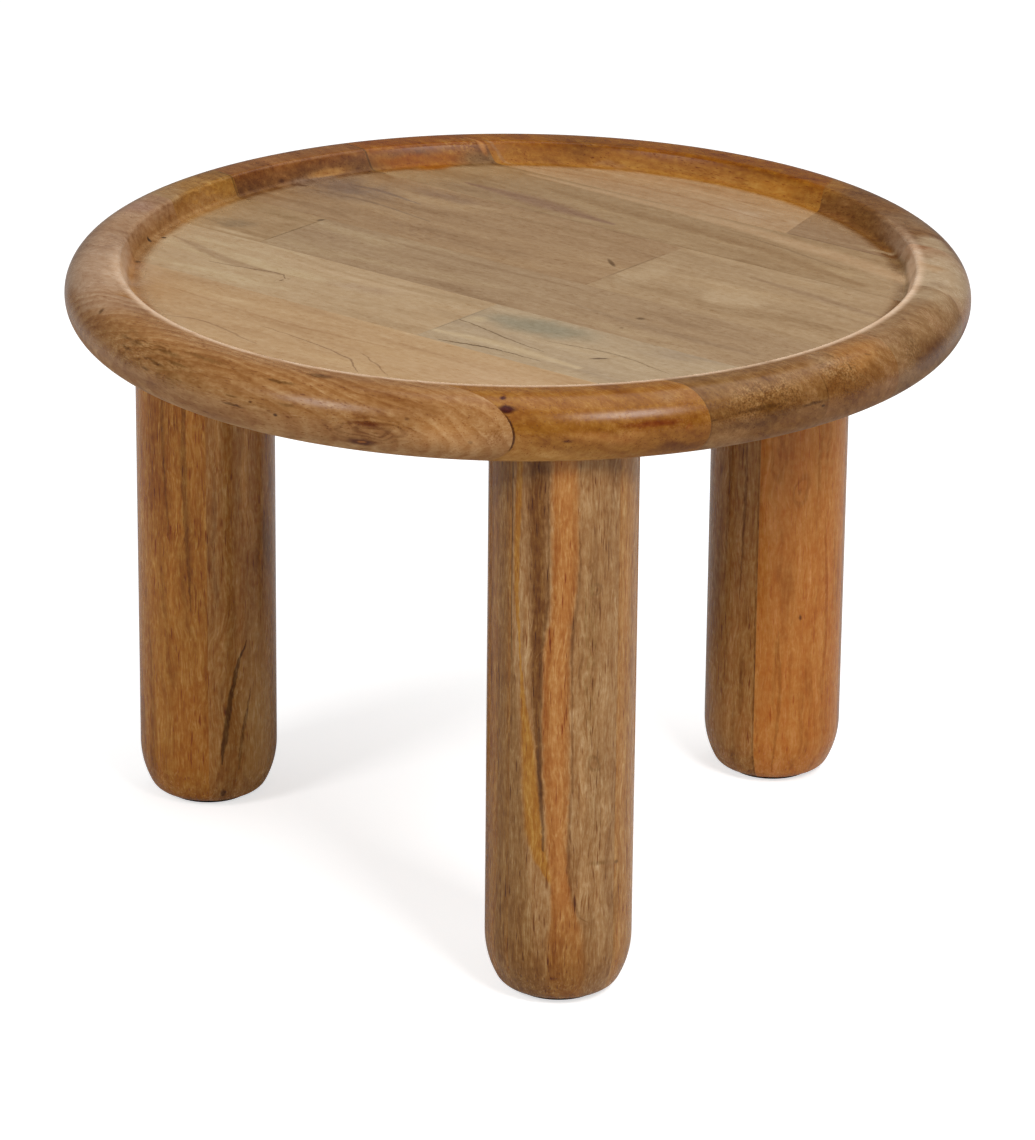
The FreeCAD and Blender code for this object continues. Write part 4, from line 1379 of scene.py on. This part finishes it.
def front_rows() -> tuple[Stave, ...]:
    """Finish the two staves at the front, which make most of the rim that faces the camera.

    Returns:
        The staves of rows 6 and 7.
    """
    return (
        Stave(6, "", Wood(
            rim=Tone("9c6931", "8c591c", "7a470e"), wall=Tone("a87642", "986534", "835224"),
            tray=Tone("bc9b71", "b28f66", "a58058"), origin=board(10), ring_gap=9, marks=(
                Spot((-170, -180, 408), (60, 40, 9), "a87e50", 0.7, 0.9),
                Spot((130, -180, 408), (90, 40, 9), "ba9873", 0.6, 0.9),
                Streak(((-124, -214, 0.6), (-97, -207, 1.3), (-60, -214, 1.3), (-38, -219, 0.6)),
                       "7d5734", 0.5),
                Streak(((-60, -190, 0.4), (6, -198, 0.9), (30, -206, 1.2), (47, -220, 0.6)),
                       "6e4a2c", 0.6, 0.7),
                Streak(((24, -190, 0.4), (36, -196, 1), (52, -204, 1), (66, -213, 0.4)), "74502f",
                       0.55, 0.7),
                Streak(((-160, -168, 0.6), (-60, -176, 2), (40, -170, 0.6)), "a17a52", 0.6),
                Spot((-205, -192, 422), (90, 90, 17), "a98769", 0.95, 0.5),
                Spot((-228, -160, 423), (50, 50, 11), "8b6950", 0.5, 0.9, flecks=(2.2, 6)),
                # Painted highlight: a pale band along the lip at the left of the top.
                Spot((-180, -196, 421), (60, 14, 9), "c29e7c", 0.7, 0.9, turn=-48),
                Spot((-236, -172, 415), (30, 34, 12), "8d6848", 0.7, 0.9),
                Spot((-211, -142, 408.5), (4, 4, 4), "4f3417", 0.8, 0.8, wander=FINE),
                Spot((247, -171, 405.5), (33, 14, 3.2), "74360b", 0.95, 0.8, turn=38, wander=FINE),
                Spot((262, -158, 402), (14, 12, 5), "8f4a14", 0.8, 0.8, turn=38, wander=FINE,
                     flecks=(1.2, 5)),
                Spot((222, -196, 400), (40, 16, 6), "ac7438", 0.6, 0.9, turn=38),
                Spot((248, -155, 420), (18, 14, 6), "90683e", 0.6, 0.9),
                Spot((254, -158, 387), (24, 24, 8), "6b3d12", 0.95, 0.8, turn=38),
                Spot((190, -206, 384), (60, 60, 10), "bd8a48", 0.7, 0.9),
                Spot((186, -222, 401), (13, 5, 10), "84501f", 0.6, 0.9, turn=30, rings=3),
                Spot((211, -214, 397), (5, 3.5, 1.6), "5f330b", 0.85, 0.7, turn=38, wander=FINE),
                Spot((180, -232, 412), (15, 8, 8), "84501d", 0.6, 0.9, turn=20),
                Spot((177.5, -232.5, 415.9), (8, 8, 2.7), "3a0c02", 1, turn=20, wander=FINE),
                Spot((172, -229, 421), (3.4, 3.4, 1.4), "461204", 1, 0.7, wander=FINE),
                Spot((182, -235.6, 402), (40, 0.9, 17), "3f1c06", 0.9, wander=STILL)))),
        Stave(7, "", Wood(
            rim=Tone("a67a4d", "986c3f", "86592e"), origin=board(11),
            pith=(-300, 386), ring_gap=6.5, figure=0.12, fibre=0.2, marks=(
                Spot((20, -280, 382), (240, 60, 9), "b48b59", 0.5, 0.9),
                Spot((-60, -280, 402), (86, 22, 17), "79501f", 0.6, 0.7, turn=-10, rings=5),
                Spot((109, -279, 399.5), (46, 40, 12), "6c4016", 0.6, 0.8, turn=22, rings=4.5),
                Spot((106, -280, 403), (18, 14, 2.6), "63310e", 0.95, 0.8, turn=22, wander=FINE),
                Spot((100, -280, 389.5), (12, 10, 3.8), "4a1c06", 0.9, 0.7, turn=22, wander=FINE),
                Spot((101, -280, 390), (4, 4, 1.2), "9a5c28", turn=22, wander=FINE),
                Spot((176, -243, 399), (12, 10, 9), "7d4a1c", 0.7, 0.8, turn=30, wander=FINE,
                     flecks=(1.1, 1.1)),
                Spot((164, -251, 396), (2.2, 2.2, 1.6), "3e1d08", 0.9, 0.7, wander=STILL),
                Spot((128, -268, 408), (3, 3, 1.6), "4f2b10", 0.8, 0.7, wander=STILL),
                Spot((30, -297, 401), (22, 6, 5), "84592b", 0.7, 0.8, turn=4, wander=FINE,
                     rings=2),
                Spot((-170, -240, 422), (84, 50, 12), "a78362", 0.9, 0.7),
                Spot((-200, -236, 408), (40, 20, 14), "8f6844", 0.6, 0.9),
                Spot((150, -258, 400), (44, 24, 18), "b88855", 0.8, 0.9),
                Spot((-138, -257, 417.5), (3.5, 8, 2.4), "5a3a18", 0.8, 0.8, turn=-20,
                     wander=FINE),
                Spot((-182, -230, 419), (7, 3, 2), "6a4621", 0.7, 0.8, turn=-35, wander=FINE),
                Spot((-70, -286, 416), (46, 14, 5), "6a431a", 0.7, 0.8, turn=-14, rings=3),
                Spot((-40, -292, 412), (30, 12, 6), "74491c", 0.6, 0.8, turn=-8, wander=FINE,
                     flecks=(5, 1.2)),
                Spot((-85, -280, 408), (60, 20, 14), "7b5122", 0.5, 0.8, turn=-14,
                     flecks=(9, 1.4)),
                Spot((-68, -291, 403.8), (7, 4, 1.6), "5f3c18", 0.75, 0.7, turn=-14, wander=FINE),
                Spot((-57, -292, 409.2), (9, 4, 1.5), "5f3c18", 0.75, 0.7, turn=-11, wander=FINE),
                Spot((-40, -293, 412.9), (14, 4, 1.2), "654119", 0.7, 0.7, turn=-8, wander=FINE),
                Spot((-67, -290, 410), (9, 4, 1.1), "5f3c18", 0.6, 0.7, turn=-13, wander=FINE),
                Spot((-50, -289, 416.6), (14, 6, 1.5), "654119", 0.7, 0.8, turn=-10, wander=FINE),
                Spot((-22, -288, 419.6), (24, 6, 1.2), "6d4920", 0.6, 0.8, turn=-5, wander=FINE),
                Spot((-92, -283, 410), (9, 5, 1.3), "6a4621", 0.8, 0.7, turn=-18, wander=FINE),
                Spot((-83, -282, 415), (8, 5, 1.2), "6a4621", 0.7, 0.7, turn=-17, wander=FINE),
                Spot((-95, -279, 414.5), (10, 5, 1.3), "6a4621", 0.7, 0.8, turn=-19, wander=FINE),
                Spot((-40, -297, 403.5), (20, 6, 2.4), "6a441c", 0.6, 0.8, turn=-8, wander=FINE,
                     flecks=(5, 1.4)),
                Spot((12, -300, 399.3), (13, 5, 1.1), "5d3a16", 0.85, 0.7, turn=2, wander=FINE),
                Spot((42, -288, 418), (14, 6, 1), "5f3d18", 0.75, 0.7, turn=8, wander=FINE),
                Spot((11, -299, 405), (7, 4, 0.9), "66421c", 0.7, 0.7, turn=2, wander=FINE),
                Spot((52, -294, 406.7), (9, 5, 1.6), "6b4620", 0.6, 0.8, turn=10, wander=FINE),
                Spot((61, -273, 422), (12, 4, 1.6), "5c3a17", 0.8, 0.7, turn=13, wander=FINE),
                Spot((45, -297, 399.2), (2.4, 3, 1.5), "47270c", 0.9, 0.7, wander=STILL),
                Spot((26, -299, 404), (2, 3, 1), "55331a", 0.8, 0.7, wander=STILL)))),
    )


def leg_woods() -> dict[str, tuple[Wood, ...]]:
    """Finish the four quarter staves of each leg, in the order that they stand round it.

    Returns:
        The finishes by leg.
    """
    front = (
        quarter(0, Tone("ab7a45", "996a38", "80542a")),
        quarter(1, Tone("a26c30", "925f26", "7b4c1a"), marks=(
            Streak(((380, 30, 8.5), (250, 30, 8.5), (120, 31, 9), (5, 30, 10)), "865c2d", 0.9,
                   0.7),)),
        quarter(2, Tone("aa7f50", "9d7346", "8a6138"), marks=(
            Streak(((262, -37, 0.5), (210, -37, 7), (150, -35, 10), (90, -32, 14), (4, -28, 16)),
                   "886033", 0.9, 0.5),
            Streak(((380, -19, 9.5), (324, -18.5, 9), (276, -17, 8.5), (250, -18, 6),
                    (215, -18, 5), (190, -17, 3), (150, -14, 2)), "6a3e10", 0.95, 0.7),
            Streak(((380, -31, 3.2), (347, -32, 3.2), (318, -33, 3), (286, -33, 2.4),
                    (262, -31, 1.4), (235, -29, 1.2), (210, -27, 3), (190, -24, 5.5),
                    (150, -21, 8), (120, -18, 8), (104, -13, 6), (90, -7, 2.5)), "a26c24", 0.95),
            Streak(((196, -16.5, 0.8), (160, -15, 2.6), (112, -12, 1)), "5d3a1a", 0.8, 0.9),
            Streak(((380, -1.5, 10), (324, -0.5, 10.5), (284, -1, 9.5), (268, -3, 8.5),
                    (252, -5.5, 10), (205, -5.5, 10.5), (161, -4.5, 10.5), (111, -3.5, 8),
                    (90, -1.5, 8), (72, 0.5, 9), (55, 3, 14), (3, 4, 17)), "ab6f34", 0.95, 0.5),
            Streak(((380, -7, 1.5), (324, -6, 3), (268, -8, 3), (205, -11, 4), (150, -9, 3),
                    (90, -5, 3), (30, -6, 4)), "96591f", 0.7, 0.9),
            Streak(((380, 4, 1.5), (300, 5, 3), (240, 1, 2), (180, 2, 3), (120, 1, 2), (60, 8, 4)),
                   "99602a", 0.6, 0.9),
            Streak(((372, -12, 0.6), (320, -11, 1.6), (284, -11, 1.6), (252, -15, 1.6),
                    (200, -15, 1.6), (150, -14, 0.6)), "5f380f", 0.5, 0.9),
            Streak(((330, 8.5, 0.6), (290, 8.5, 1.8), (262, 5, 2), (215, 5, 1), (163, 5.5, 1.6),
                    (120, 4, 2), (98, 4.5, 2), (80, 7.5, 1.8), (66, 12, 1.8), (60, 19, 0.6)),
                   "673c12", 0.5, 0.9),
            Spot((102, 8, 47), (26, 6, 20), "7a4b1b", 0.7, 0.8, wander=FINE),
            Spot((290, 18, 47), (10, 9, 20), "74502a", 0.6, 0.8, turn=30, rings=2),
            Spot((170, 22, 47), (16, 9, 20), "775329", 0.6, 0.8, turn=-20, rings=2.5),
            Spot((16, -4, 47), (74, 70, 60), "784a14", 0.7, 1),
            Spot((102, 25, 47), (2.6, 13, 20), "765024", 0.6, 0.9, turn=8, wander=FINE),
            Spot((60, 20, 47), (16, 5, 20), "80562a", 0.6, 0.9),
            Spot((250, 16, 47), (90, 8, 20), "84602f", 0.6, 0.7, wander=FINE, flecks=(9, 1.1)),
            Spot((150, 22, 47), (60, 12, 20), "8f6638", 0.6, 0.7, wander=FINE, flecks=(7, 1.2)),
            Streak(((380, -37, 0.8), (240, -37, 0.7)), "5a3a17", wander=STILL))),
        quarter(3, Tone("b58149", "a7743c", "92622d"), marks=(
            Streak(((380, -36.9, 0.5), (3, -36.9, 0.5)), "8a5f30", 0.5, wander=STILL),
            Spot((99, -35, 47), (2, 3, 20), "6a481f", 0.7, 0.7, wander=FINE))))
    right = (
        quarter(4, Tone("b97a3e", "a56a30", "8b5523")),
        quarter(5, Tone("a87040", "966030", "7d4c20")),
        quarter(6, Tone("b27c46", "a16d36", "895824"), marks=(
            # Painted shade: the quarter darkens towards its top, under the overhanging top.
            Spot((400, 20, 47), (190, 90, 60), "6d3f0d", 0.85, 1),
            Streak(((350, 12, 1), (250, 14, 3.5), (150, 10, 1)), "7a4a1b", 0.6),
            Streak(((300, 26, 0.5), (220, 27, 1.6), (140, 24, 0.5)), "6d4015", 0.7),
            Streak(((380, 36.6, 0.9), (3, 36.6, 0.9)), "70420f", 0.6, 0.7, wander=STILL))),
        quarter(7, Tone("c98344", "bb7532", "a56223"), ring_gap=10, fibre=0.35, pores=0.35, marks=(
            # Darker towards the top of the leg.
            Spot((400, -10, 47), (170, 80, 60), "95580f", 0.8, 1),
            Spot((225, -6, 47), (26, 9, 20), "955618", 0.6, 0.8, turn=12, rings=2),
            Spot((250, -26, 47), (34, 10, 20), "9a5a1a", 0.6, 0.8, turn=-14, rings=2),
            Spot((129, -6.6, 47), (3, 1.4, 20), "6b3a10", 0.85, 0.7, wander=FINE),
            Streak(((200, 12, 0.6), (140, 16, 2.4), (60, 14, 1)), "a35c1a", 0.7),
            Streak(((120, -22, 0.6), (70, -20, 1.8), (10, -24, 0.6)), "9c5a1c", 0.7))))
    left = (
        quarter(8, Tone("a56d35", "925c28", "7a4a1c")),
        quarter(9, Tone("9c6a38", "8b5a2c", "734820")),
        quarter(10, Tone("b87a33", "a76a26", "8d5518"), marks=(
            Spot((60, 24, 47), (75, 26, 30), "ab6c2a", 0.8, 0.9),
            Spot((280, 2, 47), (130, 22, 30), "8a5018", 0.75, 0.9),
            Streak(((340, 24, 0.8), (250, 22, 3), (150, 26, 0.8)), "75430c", 0.7),
            Streak(((360, 8, 0.8), (280, 6, 2), (200, 10, 0.5)), "7c4a14", 0.7))),
        quarter(11, Tone("ba8243", "a46f36", "8a5a2a"), marks=(
            Spot((188, 14, 47), (30, 12, 30), "7d5226", 0.8, 0.8, turn=-10),
            Spot((60, 6, 47), (110, 32, 30), "bd8c4e", 0.8, 0.9),
            Streak(((380, -22, 10), (250, -22, 9), (130, -20, 6), (40, -20, 9), (3, -22, 6)),
                   "8c5a25", 0.6, 0.8),
            Streak(((126, -9, 0.5), (113, -15, 1.8), (91, -20.6, 2.2), (54, -26, 2.8),
                    (36, -28, 0.8)), "573510", 0.85),
            Streak(((90, -6, 0.5), (60, -12, 2), (30, -16, 1)), "6b4316", 0.7),
            Spot((12, -26.5, 47), (6, 3.4, 30), "43200a", 0.85, 0.8, wander=FINE))))
    return {"front": front, "right": right, "left": left}


def main() -> None:
    """Build the table and its studio."""
    logging.basicConfig(level=logging.INFO, format="%(name)s: %(message)s")
    bpy.context.scene.view_settings.view_transform = "Standard"
    Studio().build()
    TurnedTop(back_rows() + middle_rows() + front_rows()).build()
    for name, woods in leg_woods().items():
        TurnedLeg(name, woods).build()
    FootPads().build()
    Fixings().build()


if __name__ == "__main__":
    main()
